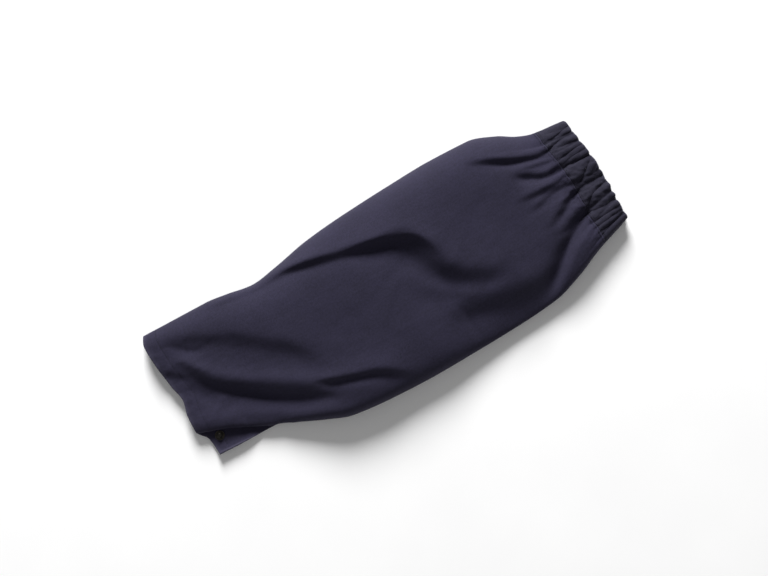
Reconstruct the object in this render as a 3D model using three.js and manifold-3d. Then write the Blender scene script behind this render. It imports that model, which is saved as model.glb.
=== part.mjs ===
// A cloth work sleeve for the forearm and upper arm, lying on its underside as it comes out of its
// packet. A tapered tube of heavy cotton twill is drawn in by an elastic casing at the upper arm. The
// wrist end has a turned-up hem and a slit on the underarm side, which a press snap closes.
// +X runs from the wrist to the upper arm, +Y from the slit side to the folded side, +Z up.
// The origin is the middle of the base. All sizes are in millimetres.
import * as THREE from "three";
import { mergeVertices } from "three/addons/utils/BufferGeometryUtils.js";
import Module from "manifold-3d";

// Driving sizes of the cloth
const SLEEVE_LENGTH = 533; // from the wrist edge to the rim of the elastic end
const WRIST_WIDTH = 158; // across the wrist end, folded edge to slit edge
const BODY_WIDTH = 216; // across the fullest part
const ARM_WIDTH = 128; // across the elastic end, drawn in
const LOFT = 36; // how high the upper layer stands over the surface at the fullest part
const CLOTH = 1.2; // wall of one layer of twill
const CASING_LENGTH = 35; // from the casing's stitch line to its rim
const CASING_WALL = 3; // two layers of twill with the elastic between them
const HEM_WIDTH = 17; // turned-up hem at the wrist
const HEM_CLOTH = 1; // turned-in cloth, pressed flat
const SLIT_LENGTH = 76; // from the wrist edge to the head of the slit
const FLAP_WIDTH = 33; // part of the upper layer that lies flat beside the slit, at the wrist edge
const UNDERLAP = 8; // how far the lower layer's slit edge hides behind the flap's fold
const GATHER_DEPTH = 2.4; // height of a gather over its pinch
const GATHER_REACH = 20; // distance over which the gathers die away into the body
const GATHER_LIFT = 1.8; // room under the base that the gathers of the underside fill
const CLEARANCE = 0.3; // gap between pieces that touch

// Driving sizes of the press snap
const CAP_DIAMETER = 15;
const CAP_THICKNESS = 2;
const SOCKET_DIAMETER = 12.4;
const SOCKET_HEIGHT = 3.2;
const STUD_DIAMETER = 11;
const STUD_FLANGE = 1.2;
const KNOB_DIAMETER = 6.6;
const KNOB_HEIGHT = 3.2;
const POST_DIAMETER = 10;
const POST_FLANGE = 0.8;
const SHANK_DIAMETER = 4;
const SNAP_FROM_WRIST = 12; // snap's centre from the wrist edge
const SNAP_FROM_SLIT = 19; // snap's centre from the slit edge
const ROUND_SIDES = 20;

const BODY_LENGTH = SLEEVE_LENGTH - CASING_LENGTH;
const RIM = SLEEVE_LENGTH / BODY_LENGTH;
const SLIT_HEAD = SLIT_LENGTH / BODY_LENGTH;

// Cross sections. at: share of the body's length, past 1 in the casing. upper and lower: the folded
// edge and the slit or seam edge, as shares of the width named in size. crest and edge: heights of the
// upper layer and of the folded edge, as shares of LOFT. fall: how far the slit side slopes down, as a
// share of the crest's height. lift: underside's height, of GATHER_LIFT.
const SECTIONS = [
  { at: 0, size: WRIST_WIDTH, upper: 0.559, lower: -0.442, crest: 0.46, edge: 0.12, fall: 0, lift: 0 },
  { at: SLIT_HEAD, size: WRIST_WIDTH, upper: 0.558, lower: -0.447, crest: 0.58, edge: 0.12, fall: 0, lift: 0 },
  { at: 0.2, size: BODY_WIDTH, upper: 0.396, lower: -0.366, crest: 0.68, edge: 0.14, fall: 0, lift: 0 },
  { at: 0.265, size: BODY_WIDTH, upper: 0.374, lower: -0.428, crest: 0.79, edge: 0.16, fall: 0, lift: 0 },
  { at: 0.325, size: BODY_WIDTH, upper: 0.396, lower: -0.476, crest: 0.87, edge: 0.17, fall: 0, lift: 0 },
  { at: 0.416, size: BODY_WIDTH, upper: 0.441, lower: -0.494, crest: 0.96, edge: 0.18, fall: 0.1, lift: 0 },
  { at: 0.506, size: BODY_WIDTH, upper: 0.466, lower: -0.499, crest: 1, edge: 0.19, fall: 0.35, lift: 0 },
  { at: 0.647, size: BODY_WIDTH, upper: 0.49, lower: -0.489, crest: 0.99, edge: 0.19, fall: 0.35, lift: 0 },
  { at: 0.747, size: BODY_WIDTH, upper: 0.501, lower: -0.477, crest: 0.97, edge: 0.19, fall: 0.45, lift: 0 },
  { at: 0.847, size: BODY_WIDTH, upper: 0.497, lower: -0.453, crest: 0.9, edge: 0.19, fall: 0.35, lift: 0.05 },
  { at: 0.918, size: BODY_WIDTH, upper: 0.448, lower: -0.396, crest: 0.8, edge: 0.2, fall: 0.1, lift: 0.3 },
  { at: 0.96, size: BODY_WIDTH, upper: 0.396, lower: -0.347, crest: 0.71, edge: 0.21, fall: 0, lift: 0.7 },
  { at: 1, size: ARM_WIDTH, upper: 0.615, lower: -0.512, crest: 0.62, edge: 0.22, fall: 0, lift: 1 },
  { at: RIM, size: ARM_WIDTH, upper: 0.59, lower: -0.41, crest: 0.53, edge: 0.2, fall: 0, lift: 1 },
];

// Folds of the upper layer, each along a smooth path through points of [share of the body's length,
// share of BODY_WIDTH]. depth is a share of LOFT. start and end are how far the fold reaches to each
// side at the path's two ends, as shares of BODY_WIDTH. A roll stands up on the left of its path and
// drops on the right, and both sides run out slowly. A step drops on the right and stays down. A valley
// is a dent, a ridge the opposite.
const FOLDS = [
  {
    name: "upper_roll", shape: "roll", depth: 0.05, start: 0.02, end: 0.035,
    path: [[0.26, 0.39], [0.34, 0.36], [0.43, 0.32], [0.52, 0.275], [0.6, 0.23], [0.66, 0.17]],
  },
  {
    name: "arch_crease", shape: "roll", depth: 0.09, start: 0.025, end: 0.03,
    path: [
      [0.46, 0.31], [0.53, 0.27], [0.585, 0.238], [0.622, 0.205],
      [0.645, 0.15], [0.66, 0.06], [0.67, 0],
    ],
  },
  {
    name: "arch_roll", shape: "roll", depth: 0.12, start: 0.06, end: 0.07,
    path: [
      [0.56, 0.24], [0.6, 0.2], [0.63, 0.13], [0.65, 0.05],
      [0.672, -0.03], [0.71, -0.11], [0.765, -0.175], [0.84, -0.2],
    ],
  },
  {
    name: "arch_ridge", shape: "ridge", depth: 0.04, start: 0.03, end: 0.03,
    path: [
      [0.56, 0.1], [0.585, 0], [0.62, -0.09], [0.655, -0.15],
      [0.69, -0.205], [0.735, -0.245], [0.78, -0.24], [0.84, -0.2],
    ],
  },
  {
    name: "arch_foot", shape: "valley", depth: 0.05, start: 0.04, end: 0.05,
    path: [[0.54, -0.04], [0.58, -0.12], [0.62, -0.19], [0.68, -0.27], [0.76, -0.31]],
  },
  {
    name: "seam_slope", shape: "roll", depth: 0.09, start: 0.06, end: 0.07,
    path: [[0.6, -0.28], [0.68, -0.34], [0.75, -0.36], [0.82, -0.36], [0.9, -0.3]],
  },
  {
    name: "wrist_roll", shape: "roll", depth: 0.1, start: 0.05, end: 0.085,
    path: [
      [-0.05, 0.36], [0.05, 0.3], [0.13, 0.22], [0.2, 0.12],
      [0.26, 0.02], [0.31, -0.1], [0.36, -0.24],
    ],
  },
  {
    name: "wrist_ridge", shape: "ridge", depth: 0.09, start: 0.03, end: 0.035,
    path: [
      [0, 0.27], [0.04, 0.2], [0.09, 0.075], [0.14, -0.02], [0.2, -0.105],
      [0.28, -0.22], [0.36, -0.325], [0.44, -0.41], [0.5, -0.47],
    ],
  },
  {
    name: "wrist_valley", shape: "valley", depth: 0.1, start: 0.036, end: 0.036,
    path: [
      [0, 0.22], [0.045, 0.1], [0.07, 0.005], [0.1, -0.06],
      [0.15, -0.14], [0.2, -0.215], [0.26, -0.3], [0.33, -0.38],
    ],
  },
  {
    name: "wrist_step", shape: "step", depth: 0.14, start: 0.06, end: 0.05,
    path: [
      [-0.35, 0.33], [-0.12, 0.28], [0, 0.18], [0.045, 0.08], [0.07, 0.005], [0.1, -0.06],
      [0.15, -0.14], [0.2, -0.215], [0.26, -0.3], [0.33, -0.38], [0.42, -0.47],
    ],
  },
  {
    name: "belly_ridge", shape: "ridge", depth: 0.08, start: 0.035, end: 0.04,
    path: [[-0.06, -0.03], [0.03, -0.14], [0.1, -0.215], [0.2, -0.325], [0.3, -0.415], [0.38, -0.46]],
  },
  {
    name: "lower_crease", shape: "roll", depth: 0.1, start: 0.025, end: 0.04,
    path: [[0.27, -0.19], [0.31, -0.245], [0.35, -0.28], [0.4, -0.325], [0.45, -0.385], [0.5, -0.46]],
  },
  {
    name: "arm_crease_1", shape: "roll", depth: 0.08, start: 0.03, end: 0.022,
    path: [[0.8, 0.41], [0.86, 0.345], [0.91, 0.29], [0.97, 0.25], [1.03, 0.24], [1.08, 0.24]],
  },
  {
    name: "arm_crease_2", shape: "roll", depth: 0.05, start: 0.03, end: 0.022,
    path: [[0.88, 0.24], [0.92, 0.19], [0.96, 0.145], [1, 0.14], [1.06, 0.15]],
  },
  {
    name: "arm_crease_3", shape: "roll", depth: 0.05, start: 0.03, end: 0.022,
    path: [[0.9, -0.12], [0.94, -0.075], [0.98, -0.035], [1.02, 0], [1.07, 0.02]],
  },
  {
    name: "arm_crease_4", shape: "valley", depth: 0.2, start: 0.03, end: 0.035,
    path: [[0.81, -0.45], [0.85, -0.385], [0.9, -0.285], [0.95, -0.195], [0.99, -0.14], [1.05, -0.08]],
  },
];
const FOLD_FADE = 0.3; // share of a fold's length over which it rises from nothing, at each end
const ROLL_TAIL = 3.5; // how far a roll runs out, as a multiple of its reach
const STEP_STEEPNESS = 1.6;

// How the upper layer's height falls from the crest, over half the width, as the powers of the curve
const FOLDED_SIDE = { from: 3.6, round: 0.62, inside: 6 };
const SLIT_SIDE = { fall: 3, from: 16, round: 0.5, inside: 18 };

// The wrist edge of the upper layer, seen from above: how far it is set back along X, as shares of
// WRIST_WIDTH, from the slit edge to the folded edge. ARM_EDGE does the same for the gathered end, in
// shares of ARM_WIDTH.
const WRIST_EDGE = [
  { across: -0.442, back: 0.051 },
  { across: -0.31, back: 0.034 },
  { across: -0.225, back: -0.022 },
  { across: -0.1, back: -0.019 },
  { across: 0.025, back: 0.004 },
  { across: 0.15, back: -0.022 },
  { across: 0.48, back: -0.055 },
  { across: 0.559, back: -0.03 },
];
const ARM_EDGE = [
  { across: -0.5, back: 0.035 },
  { across: -0.2, back: 0.02 },
  { across: 0, back: 0.022 },
  { across: 0.2, back: 0.005 },
  { across: 0.4, back: -0.025 },
  { across: 0.6, back: -0.055 },
];
const LOWER_EDGE_BACK = 0.03; // the lower layer's wrist edge, tucked behind the upper one
const WRIST_EDGE_REACH = 0.3; // share of the body's length over which that shape dies away
const ARM_EDGE_REACH = 0.25; // the same for the gathered end

// Gathers across one layer, as relative widths from the slit side to the folded side.
const GATHERS = [0.85, 1.05, 0.97, 1.15, 0.88, 1.14, 1.2, 0.9, 1.15];

// Mesh steps
const PATH_STEPS = 20;
const UPPER_STEPS = 32;
const LOWER_STEPS = 12;
const FLAP_STEPS = 4;
const SLIT_HEM_STEPS = 2; // width of the turned-in edges beside the slit
const STEPS_PER_UPPER_GATHER = 6;
const STEPS_PER_LOWER_GATHER = 4;
const HEM_ROWS = 2;
const SLIT_ROWS = 5;
const BODY_ROWS = 26;
const GATHER_ROWS = [0.4, 0.68, 0.87, 1];
const CASING_ROWS = [0, 0.18, 0.5, 0.8, 0.95, 1];

const { lerp, clamp, smoothstep } = THREE.MathUtils;

// A smooth curve through a table's rows, for one of its columns
function smoothColumn(rows, key, value) {
  const keys = rows.map(key);
  const values = rows.map(value);
  const slopes = keys.slice(1).map((k, i) => (values[i + 1] - values[i]) / (k - keys[i]));
  const tangents = keys.map((_, i) => {
    if (i === 0) return slopes[0];
    if (i === keys.length - 1) return slopes[i - 1];
    if (slopes[i - 1] * slopes[i] <= 0) return 0;
    return (2 * slopes[i - 1] * slopes[i]) / (slopes[i - 1] + slopes[i]);
  });
  return (at) => {
    const x = clamp(at, keys[0], keys[keys.length - 1]);
    const i = Math.min(keys.findLastIndex((k) => k <= x), keys.length - 2);
    const span = keys[i + 1] - keys[i];
    const u = (x - keys[i]) / span;
    const u2 = u * u;
    const u3 = u2 * u;
    return (
      (2 * u3 - 3 * u2 + 1) * values[i] +
      (u3 - 2 * u2 + u) * span * tangents[i] +
      (3 * u2 - 2 * u3) * values[i + 1] +
      (u3 - u2) * span * tangents[i + 1]
    );
  };
}

const sectionColumn = (value) => smoothColumn(SECTIONS, (row) => row.at, value);
const upperEdge = sectionColumn((row) => row.upper * row.size);
const lowerEdge = sectionColumn((row) => row.lower * row.size);
const crest = sectionColumn((row) => row.crest * LOFT);
const edgeHeight = sectionColumn((row) => row.edge * LOFT);
const slitFall = sectionColumn((row) => row.fall);
const gatherLift = sectionColumn((row) => row.lift * GATHER_LIFT);
const wristBack = smoothColumn(
  WRIST_EDGE,
  (row) => row.across * WRIST_WIDTH,
  (row) => row.back * WRIST_WIDTH,
);
const armBack = smoothColumn(
  ARM_EDGE,
  (row) => row.across * ARM_WIDTH,
  (row) => row.back * ARM_WIDTH,
);
const wristShare = (s) => Math.pow(clamp(1 - s / WRIST_EDGE_REACH, 0, 1), 2);
const armShare = (s) => smoothstep(s, 1 - ARM_EDGE_REACH, 1);

// Heights of what is stacked under and over the two snap parts
const POST_TOP = CLEARANCE + POST_FLANGE;
const FLAP_HEIGHT = POST_TOP + CLEARANCE + HEM_CLOTH + CLEARANCE + CLOTH;
const CAP_LIFT = CAP_THICKNESS + CLEARANCE;

// Where the two halves of the snap sit, seen from above
const flapEdge = lowerEdge(0);
const slitShare = (s) => clamp(1 - s / SLIT_HEAD, 0, 1);
const foldLine = (s) => lowerEdge(s) + FLAP_WIDTH * slitShare(s);
const lowerSlitEdge = (s) => foldLine(s) + UNDERLAP * Math.sqrt(slitShare(s));
const studAt = new THREE.Vector2(0, flapEdge + SNAP_FROM_SLIT);
studAt.x = wristBack(studAt.y) + SNAP_FROM_WRIST;
const capAt = new THREE.Vector2(
  LOWER_EDGE_BACK * WRIST_WIDTH + SNAP_FROM_WRIST,
  lowerSlitEdge(0) + SNAP_FROM_SLIT,
);

// Distance from a point to a fold's path, its side, and how far along the path the nearest point is
function nearestOnPath(x, y, path) {
  let best = { distance: Infinity };
  let before = 0;
  for (let i = 1; i < path.length; i++) {
    const { x: ax, y: ay } = path[i - 1];
    const dx = path[i].x - ax;
    const dy = path[i].y - ay;
    const length = Math.hypot(dx, dy);
    const u = clamp(((x - ax) * dx + (y - ay) * dy) / (length * length), 0, 1);
    const ex = x - ax - u * dx;
    const ey = y - ay - u * dy;
    const distance = Math.hypot(ex, ey);
    if (distance < best.distance) {
      const side = dx * ey - dy * ex < 0 ? -1 : 1;
      best = { distance, side, travelled: before + u * length };
    }
    before += length;
  }
  return { ...best, share: best.travelled / before };
}

const foldPaths = FOLDS.map((fold) => {
  const points = fold.path.map((share) => new THREE.Vector2(share[0] * BODY_LENGTH, share[1] * BODY_WIDTH));
  return { ...fold, path: new THREE.SplineCurve(points).getPoints(PATH_STEPS) };
});

// Height across each shape of fold, at a distance r from its path in reaches, on its left or right side
const FOLD_SHAPES = {
  ridge: (r) => Math.exp(-0.5 * r * r),
  valley: (r) => -Math.exp(-0.5 * r * r),
  roll: (r, side) => ((side * 2 * r) / (1 + r * r)) * Math.exp(-0.5 * (r / ROLL_TAIL) ** 2),
  step: (r, side) => -0.5 * (1 - Math.tanh(STEP_STEEPNESS * side * r)),
};

function foldHeight(x, y) {
  let total = 0;
  for (const fold of foldPaths) {
    const near = nearestOnPath(x, y, fold.path);
    const r = near.distance / (lerp(fold.start, fold.end, near.share) * BODY_WIDTH);
    const fade = smoothstep(near.share, 0, FOLD_FADE) * smoothstep(1 - near.share, 0, FOLD_FADE);
    total += fold.depth * LOFT * fade * FOLD_SHAPES[fold.shape](r, near.side);
  }
  return total;
}

// Share of the way across at a share of the steps, closer together at both edges
const crowded = (q) => lerp(q, (1 - Math.cos(Math.PI * q)) / 2, 0.6);
const FLAP_SHARE = FLAP_STEPS / UPPER_STEPS;

// The upper layer's outer face at share s of the length and share q of the way to the folded edge
function upperLayer(s, q) {
  const low = lowerEdge(s);
  const high = upperEdge(s);
  const fold = foldLine(s);
  const edgePart = Math.max(fold - low, crowded(FLAP_SHARE) * (high - low));
  const rest = (crowded(q) - crowded(FLAP_SHARE)) / (1 - crowded(FLAP_SHARE));
  const flat = Math.max(((fold - low) * q) / FLAP_SHARE, crowded(q) * (high - low));
  const y = q < FLAP_SHARE ? low + Math.min(flat, edgePart) : lerp(low + edgePart, high, rest);
  const x = s * BODY_LENGTH + wristBack(y) * wristShare(s) + armBack(y) * armShare(s);
  const foot = lerp(edgeHeight(s), FLAP_HEIGHT, smoothstep(slitShare(s), 0, 0.3));
  if (y <= fold) return new THREE.Vector3(x, y, foot);
  const across = clamp((2 * (y - fold)) / (high - fold) - 1, -1, 1);
  const out = Math.abs(across);
  const side = across > 0 ? FOLDED_SIDE : SLIT_SIDE;
  const kept = across > 0 ? 1 : 1 - slitFall(s) * Math.pow(out, SLIT_SIDE.fall);
  const dome = kept * Math.pow(1 - Math.pow(out, side.from), side.round);
  const inside = 1 - Math.pow(out, side.inside);
  const end = across > 0 ? edgeHeight(s) : foot;
  const z = lerp(end, crest(s), dome) + foldHeight(x, y) * inside;
  return new THREE.Vector3(x, y, z);
}

// The lower layer's outer face, from the folded edge (q = 0) back to the slit or seam edge (q = 1)
function lowerLayer(s, q) {
  const low = s < SLIT_HEAD ? lowerSlitEdge(s) : lowerEdge(s);
  const high = upperEdge(s);
  const y = lerp(high, low, crowded(q));
  const x =
    s * BODY_LENGTH +
    lerp(wristBack(high), LOWER_EDGE_BACK * WRIST_WIDTH, smoothstep(q, 0, 0.3)) * wristShare(s) +
    armBack(y) * armShare(s);
  const across = 1 - 2 * crowded(q);
  const rise =
    across < 0 ? lerp(edgeHeight(s), 0, smoothstep(slitShare(s), 0, 0.3)) : edgeHeight(s);
  const under = Math.sqrt(1 - Math.pow(Math.abs(across), 8));
  const around = Math.hypot(x - capAt.x, y - capAt.y);
  const capLift = CAP_LIFT * (1 - smoothstep(around, 1.3 * CAP_DIAMETER, 3.2 * CAP_DIAMETER));
  const lift = gatherLift(s) + capLift;
  const z = Math.max(lift, rise + (lift - rise) * 1.1 * under);
  return new THREE.Vector3(x, y, z);
}

// Once round the sleeve: t runs over the upper layer to the folded edge at 0.5, and back underneath
function smoothSkin(s, t) {
  return t <= 0.5 ? upperLayer(s, 2 * t) : lowerLayer(s, 2 * t - 1);
}

// A unit normal from neighbouring points of a skin. The slit's two edges aren't joined, so there the
// neighbours stay on their own side.
function normalOf(skin, s, t) {
  const ds = 0.002;
  const dt = 0.002;
  const wrap = s >= SLIT_HEAD;
  const turn = (v) => (wrap ? (v + 1) % 1 : clamp(v, 0, 1));
  const alongX = skin(Math.min(s + ds, RIM), t).sub(skin(Math.max(s - ds, 0), t));
  const acrossT = skin(s, turn(t + dt)).sub(skin(s, turn(t - dt)));
  return alongX.cross(acrossT).normalize();
}

// Distances round the loop at the casing's stitch line, which the gathers divide
const LOOP_SAMPLES = 720;
const loopShares = (() => {
  const points = Array.from({ length: LOOP_SAMPLES + 1 }, (_, i) => smoothSkin(1, i / LOOP_SAMPLES));
  const sums = [0];
  for (let i = 1; i <= LOOP_SAMPLES; i++) sums.push(sums[i - 1] + points[i].distanceTo(points[i - 1]));
  const half = sums[LOOP_SAMPLES / 2];
  const whole = sums[LOOP_SAMPLES];
  return sums.map((d) => (d <= half ? (0.5 * d) / half : 0.5 + (0.5 * (d - half)) / (whole - half)));
})();
function shareAround(t) {
  const k = clamp(t, 0, 1) * LOOP_SAMPLES;
  const i = Math.min(Math.floor(k), LOOP_SAMPLES - 1);
  return lerp(loopShares[i], loopShares[i + 1], k - i);
}
function paramAround(share) {
  const i = clamp(loopShares.findLastIndex((v) => v <= share), 0, LOOP_SAMPLES - 1);
  const u = (share - loopShares[i]) / (loopShares[i + 1] - loopShares[i]);
  return clamp((i + clamp(u, 0, 1)) / LOOP_SAMPLES, 0, 1);
}

// Pinch places round the loop, as shares of its length
const gatherTotal = GATHERS.reduce((sum, width) => sum + width, 0);
const PINCHES = [0];
for (const width of [...GATHERS, ...GATHERS.toReversed()]) {
  PINCHES.push(PINCHES[PINCHES.length - 1] + width / gatherTotal / 2);
}
function puff(t) {
  const share = clamp(shareAround(t), 0, 0.999999);
  const i = clamp(PINCHES.findLastIndex((v) => v <= share), 0, PINCHES.length - 2);
  const phase = clamp((share - PINCHES[i]) / (PINCHES[i + 1] - PINCHES[i]), 0, 1);
  return Math.pow(Math.sin(Math.PI * phase), 0.8);
}

// How strong the gathers are: dying away into the body, pinched at the stitch line, full in the casing
function gatherStrength(s) {
  if (s <= 1) return Math.exp(((s - 1) * BODY_LENGTH) / GATHER_REACH);
  const share = (s - 1) / (RIM - 1);
  return 1 + 0.25 * Math.sin(Math.PI * share);
}

// The sleeve's outer face with its gathers, never below the surface that it lies on
function outerSkin(s, t) {
  const point = smoothSkin(s, t);
  const strength = gatherStrength(s);
  if (strength > 0.01) {
    point.addScaledVector(normalOf(smoothSkin, s, t), GATHER_DEPTH * strength * puff(t));
    if (s > 1) point.x += (0.6 * GATHER_DEPTH * puff(t) * (s - 1)) / (RIM - 1);
  }
  point.z = Math.max(point.z, 0);
  return point;
}

// A face at a depth behind the outer one
const behind = (depth) => (s, t) =>
  outerSkin(s, t).addScaledVector(normalOf(outerSkin, s, t), -depth);

// The body's inner face, which ends square at the casing's stitch line
function bodyInner(s, t) {
  const inner = behind(CLOTH)(s, t);
  if (s >= 1) inner.x = outerSkin(s, t).x;
  return inner;
}

// The casing's inner face: it follows the gathers half as deep
function casingInner(s, t) {
  const back = CASING_WALL + GATHER_DEPTH * gatherStrength(s) * puff(t) * 0.5;
  const outer = smoothSkin(s, t).addScaledVector(
    normalOf(smoothSkin, s, t),
    GATHER_DEPTH * gatherStrength(s) * puff(t),
  );
  const x = outerSkin(s, t).x;
  const inner = outer.addScaledVector(normalOf(smoothSkin, s, t), -back);
  inner.x = x;
  return inner;
}

// Steps round the loop for the plain body, and finer ones that follow the gathers
const coarseSteps = [
  ...Array.from({ length: UPPER_STEPS }, (_, i) => (0.5 * i) / UPPER_STEPS),
  ...Array.from({ length: LOWER_STEPS + 1 }, (_, i) => 0.5 + (0.5 * i) / LOWER_STEPS),
];
const gatherSteps = [];
for (let g = 0; g < PINCHES.length - 1; g++) {
  const count = g < GATHERS.length ? STEPS_PER_UPPER_GATHER : STEPS_PER_LOWER_GATHER;
  for (let i = 0; i < count; i++) gatherSteps.push(paramAround(lerp(PINCHES[g], PINCHES[g + 1], i / count)));
}
gatherSteps.push(1);

// A net of triangles over (s, t): rows of steps, zipped together where they differ. A row from the slit's
// head on is a closed ring, so its last step is its first.
function net(rows) {
  const params = [];
  const ids = rows.map(({ s, steps, closed }) => {
    const row = steps.map((t, j) => {
      if (closed && j === steps.length - 1) return null;
      params.push([s, t]);
      return params.length - 1;
    });
    if (closed) row[row.length - 1] = row[0];
    return row;
  });
  const triangles = [];
  for (let r = 1; r < rows.length; r++) {
    const near = rows[r - 1].steps;
    const far = rows[r].steps;
    let a = 0;
    let b = 0;
    while (a < near.length - 1 || b < far.length - 1) {
      const stepNear =
        b === far.length - 1 || (a < near.length - 1 && near[a + 1] + near[a] <= far[b + 1] + far[b]);
      if (stepNear) {
        triangles.push([ids[r - 1][a], ids[r][b], ids[r - 1][a + 1]]);
        a++;
      } else {
        triangles.push([ids[r - 1][a], ids[r][b], ids[r][b + 1]]);
        b++;
      }
    }
  }
  return { params, triangles };
}

// A closed wall between two faces over one net
function wallGeometry({ params, triangles }, outerFace, innerFace) {
  const outer = params.map(([s, t]) => outerFace(s, t));
  const inner = params.map(([s, t]) => innerFace(s, t));
  const count = params.length;
  const index = [];
  const open = new Map();
  for (const [a, b, c] of triangles) {
    index.push(a, b, c, count + a, count + c, count + b);
    for (const [from, to] of [[a, b], [b, c], [c, a]]) {
      if (!open.delete(`${to},${from}`)) open.set(`${from},${to}`, [from, to]);
    }
  }
  for (const [from, to] of open.values()) {
    index.push(to, from, count + from, to, count + from, count + to);
  }
  const geometry = new THREE.BufferGeometry();
  const positions = [...outer, ...inner].flatMap((p) => p.toArray());
  geometry.setAttribute("position", new THREE.Float32BufferAttribute(positions, 3));
  geometry.setIndex(index);
  return geometry;
}

const wasm = await Module();
wasm.setup();

function solidOf(geometry) {
  const bare = geometry.clone();
  bare.deleteAttribute("normal");
  bare.deleteAttribute("uv");
  const merged = mergeVertices(bare, 1e-4);
  return new wasm.Manifold(
    new wasm.Mesh({
      numProp: 3,
      vertProperties: merged.attributes.position.array,
      triVerts: new Uint32Array(merged.index.array),
    }),
  );
}

function geometryOf(solid) {
  const made = solid.getMesh();
  const geometry = new THREE.BufferGeometry();
  geometry.setAttribute("position", new THREE.BufferAttribute(made.vertProperties, 3));
  geometry.setIndex(new THREE.BufferAttribute(made.triVerts, 1));
  geometry.computeVertexNormals();
  return geometry;
}

// Cuts the snap's upright holes through a cloth wall
const HOLE_RADIUS = SHANK_DIAMETER / 2 + CLEARANCE;
function pierced(geometry, places) {
  let solid = solidOf(geometry);
  for (const { at, bottom, top } of places) {
    const drill = new THREE.CylinderGeometry(HOLE_RADIUS, HOLE_RADIUS, top - bottom, ROUND_SIDES)
      .rotateX(Math.PI / 2)
      .translate(at.x, at.y, (top + bottom) / 2);
    solid = solid.subtract(solidOf(drill));
  }
  return geometryOf(solid);
}

const CAP_HOLE = { at: capAt, bottom: -CLOTH, top: CAP_LIFT + CLOTH + HEM_CLOTH + 3 * CLEARANCE };
const STUD_HOLE = { at: studAt, bottom: -CLOTH, top: FLAP_HEIGHT + CLOTH };

const sleeve = new THREE.Group();

const twill = () => new THREE.MeshStandardMaterial({ color: "#2c2b3c", roughness: 0.85, metalness: 0 });
const blackMetal = () => new THREE.MeshStandardMaterial({ color: "#23241f", roughness: 0.4, metalness: 0.8 });

function addPiece(name, geometry, material) {
  const mesh = new THREE.Mesh(geometry, material);
  mesh.name = name;
  sleeve.add(mesh);
}

// Rows of the body from the wrist edge to the casing's stitch line
const steps = (count) => Array.from({ length: count }, (_, i) => (i + 1) / count);
const hemShare = HEM_WIDTH / BODY_LENGTH;
const gatherStart = 1 - (2 * GATHER_REACH) / BODY_LENGTH;
const plainRows = [
  0,
  ...steps(HEM_ROWS).map((u) => u * hemShare),
  ...steps(SLIT_ROWS).map((u) => lerp(hemShare, SLIT_HEAD, u)),
  ...steps(BODY_ROWS).map((u) => lerp(SLIT_HEAD, gatherStart, u)),
].map((s) => ({ s, steps: coarseSteps, closed: s >= SLIT_HEAD }));
const gatheredRows = GATHER_ROWS.map((u) => ({
  s: lerp(gatherStart, 1, u),
  steps: gatherSteps,
  closed: true,
}));

// The body: one layer of twill, open along the slit
const bodyWall = wallGeometry(net([...plainRows, ...gatheredRows]), outerSkin, bodyInner);
addPiece("sleeve_body", pierced(bodyWall, [CAP_HOLE, STUD_HOLE]), twill());

// The casing: the cloth turned over the elastic and stitched down, gathered all round
const casingStart = 1 + CLEARANCE / BODY_LENGTH;
const casingRows = CASING_ROWS.map((u) => ({
  s: lerp(casingStart, RIM, u),
  steps: gatherSteps,
  closed: true,
}));
addPiece("arm_casing", wallGeometry(net(casingRows), outerSkin, casingInner), twill());

// Cloth turned in behind the body's wall
const TURNED_IN = CLOTH + CLEARANCE;
const turnedIn = (rows) => wallGeometry(net(rows), behind(TURNED_IN), behind(TURNED_IN + HEM_CLOTH));
const hemRows = plainRows.slice(0, HEM_ROWS + 1);
addPiece("wrist_hem", pierced(turnedIn(hemRows), [CAP_HOLE, STUD_HOLE]), twill());

// Turned-in edges beside the slit, from the wrist hem to just short of the slit's head
const slitHemRows = [
  hemShare + CLEARANCE / BODY_LENGTH,
  ...plainRows.slice(HEM_ROWS + 1, HEM_ROWS + SLIT_ROWS).map((row) => row.s),
];
const upperHemSteps = coarseSteps.slice(0, SLIT_HEM_STEPS + 1);
addPiece(
  "slit_hem_upper",
  turnedIn(slitHemRows.map((s) => ({ s, steps: upperHemSteps, closed: false }))),
  twill(),
);
const lowerHemSteps = coarseSteps.slice(-SLIT_HEM_STEPS - 1);
addPiece(
  "slit_hem_lower",
  turnedIn(slitHemRows.map((s) => ({ s, steps: lowerHemSteps, closed: false }))),
  twill(),
);

// A round snap part from half of its section, standing on z = 0 of its own place
function turned(outline) {
  const points = outline.map(([radius, z]) => new THREE.Vector2(radius, z));
  return new THREE.LatheGeometry(points, ROUND_SIDES).rotateX(Math.PI / 2);
}

const CAP_RADIUS = CAP_DIAMETER / 2;
const SHANK_RADIUS = SHANK_DIAMETER / 2;
const socketBottom = CAP_LIFT + CLOTH + HEM_CLOTH + 2 * CLEARANCE;
const socketFloor = socketBottom + SOCKET_HEIGHT * 0.3;
addPiece(
  "snap_cap",
  turned([
    [0, 0],
    [CAP_RADIUS * 0.7, 0],
    [CAP_RADIUS * 0.92, CAP_THICKNESS * 0.25],
    [CAP_RADIUS, CAP_THICKNESS * 0.6],
    [CAP_RADIUS, CAP_THICKNESS],
    [SHANK_RADIUS, CAP_THICKNESS],
    [SHANK_RADIUS, socketFloor - CLEARANCE],
    [0, socketFloor - CLEARANCE],
  ]).translate(capAt.x, capAt.y, 0),
  blackMetal(),
);

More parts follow.
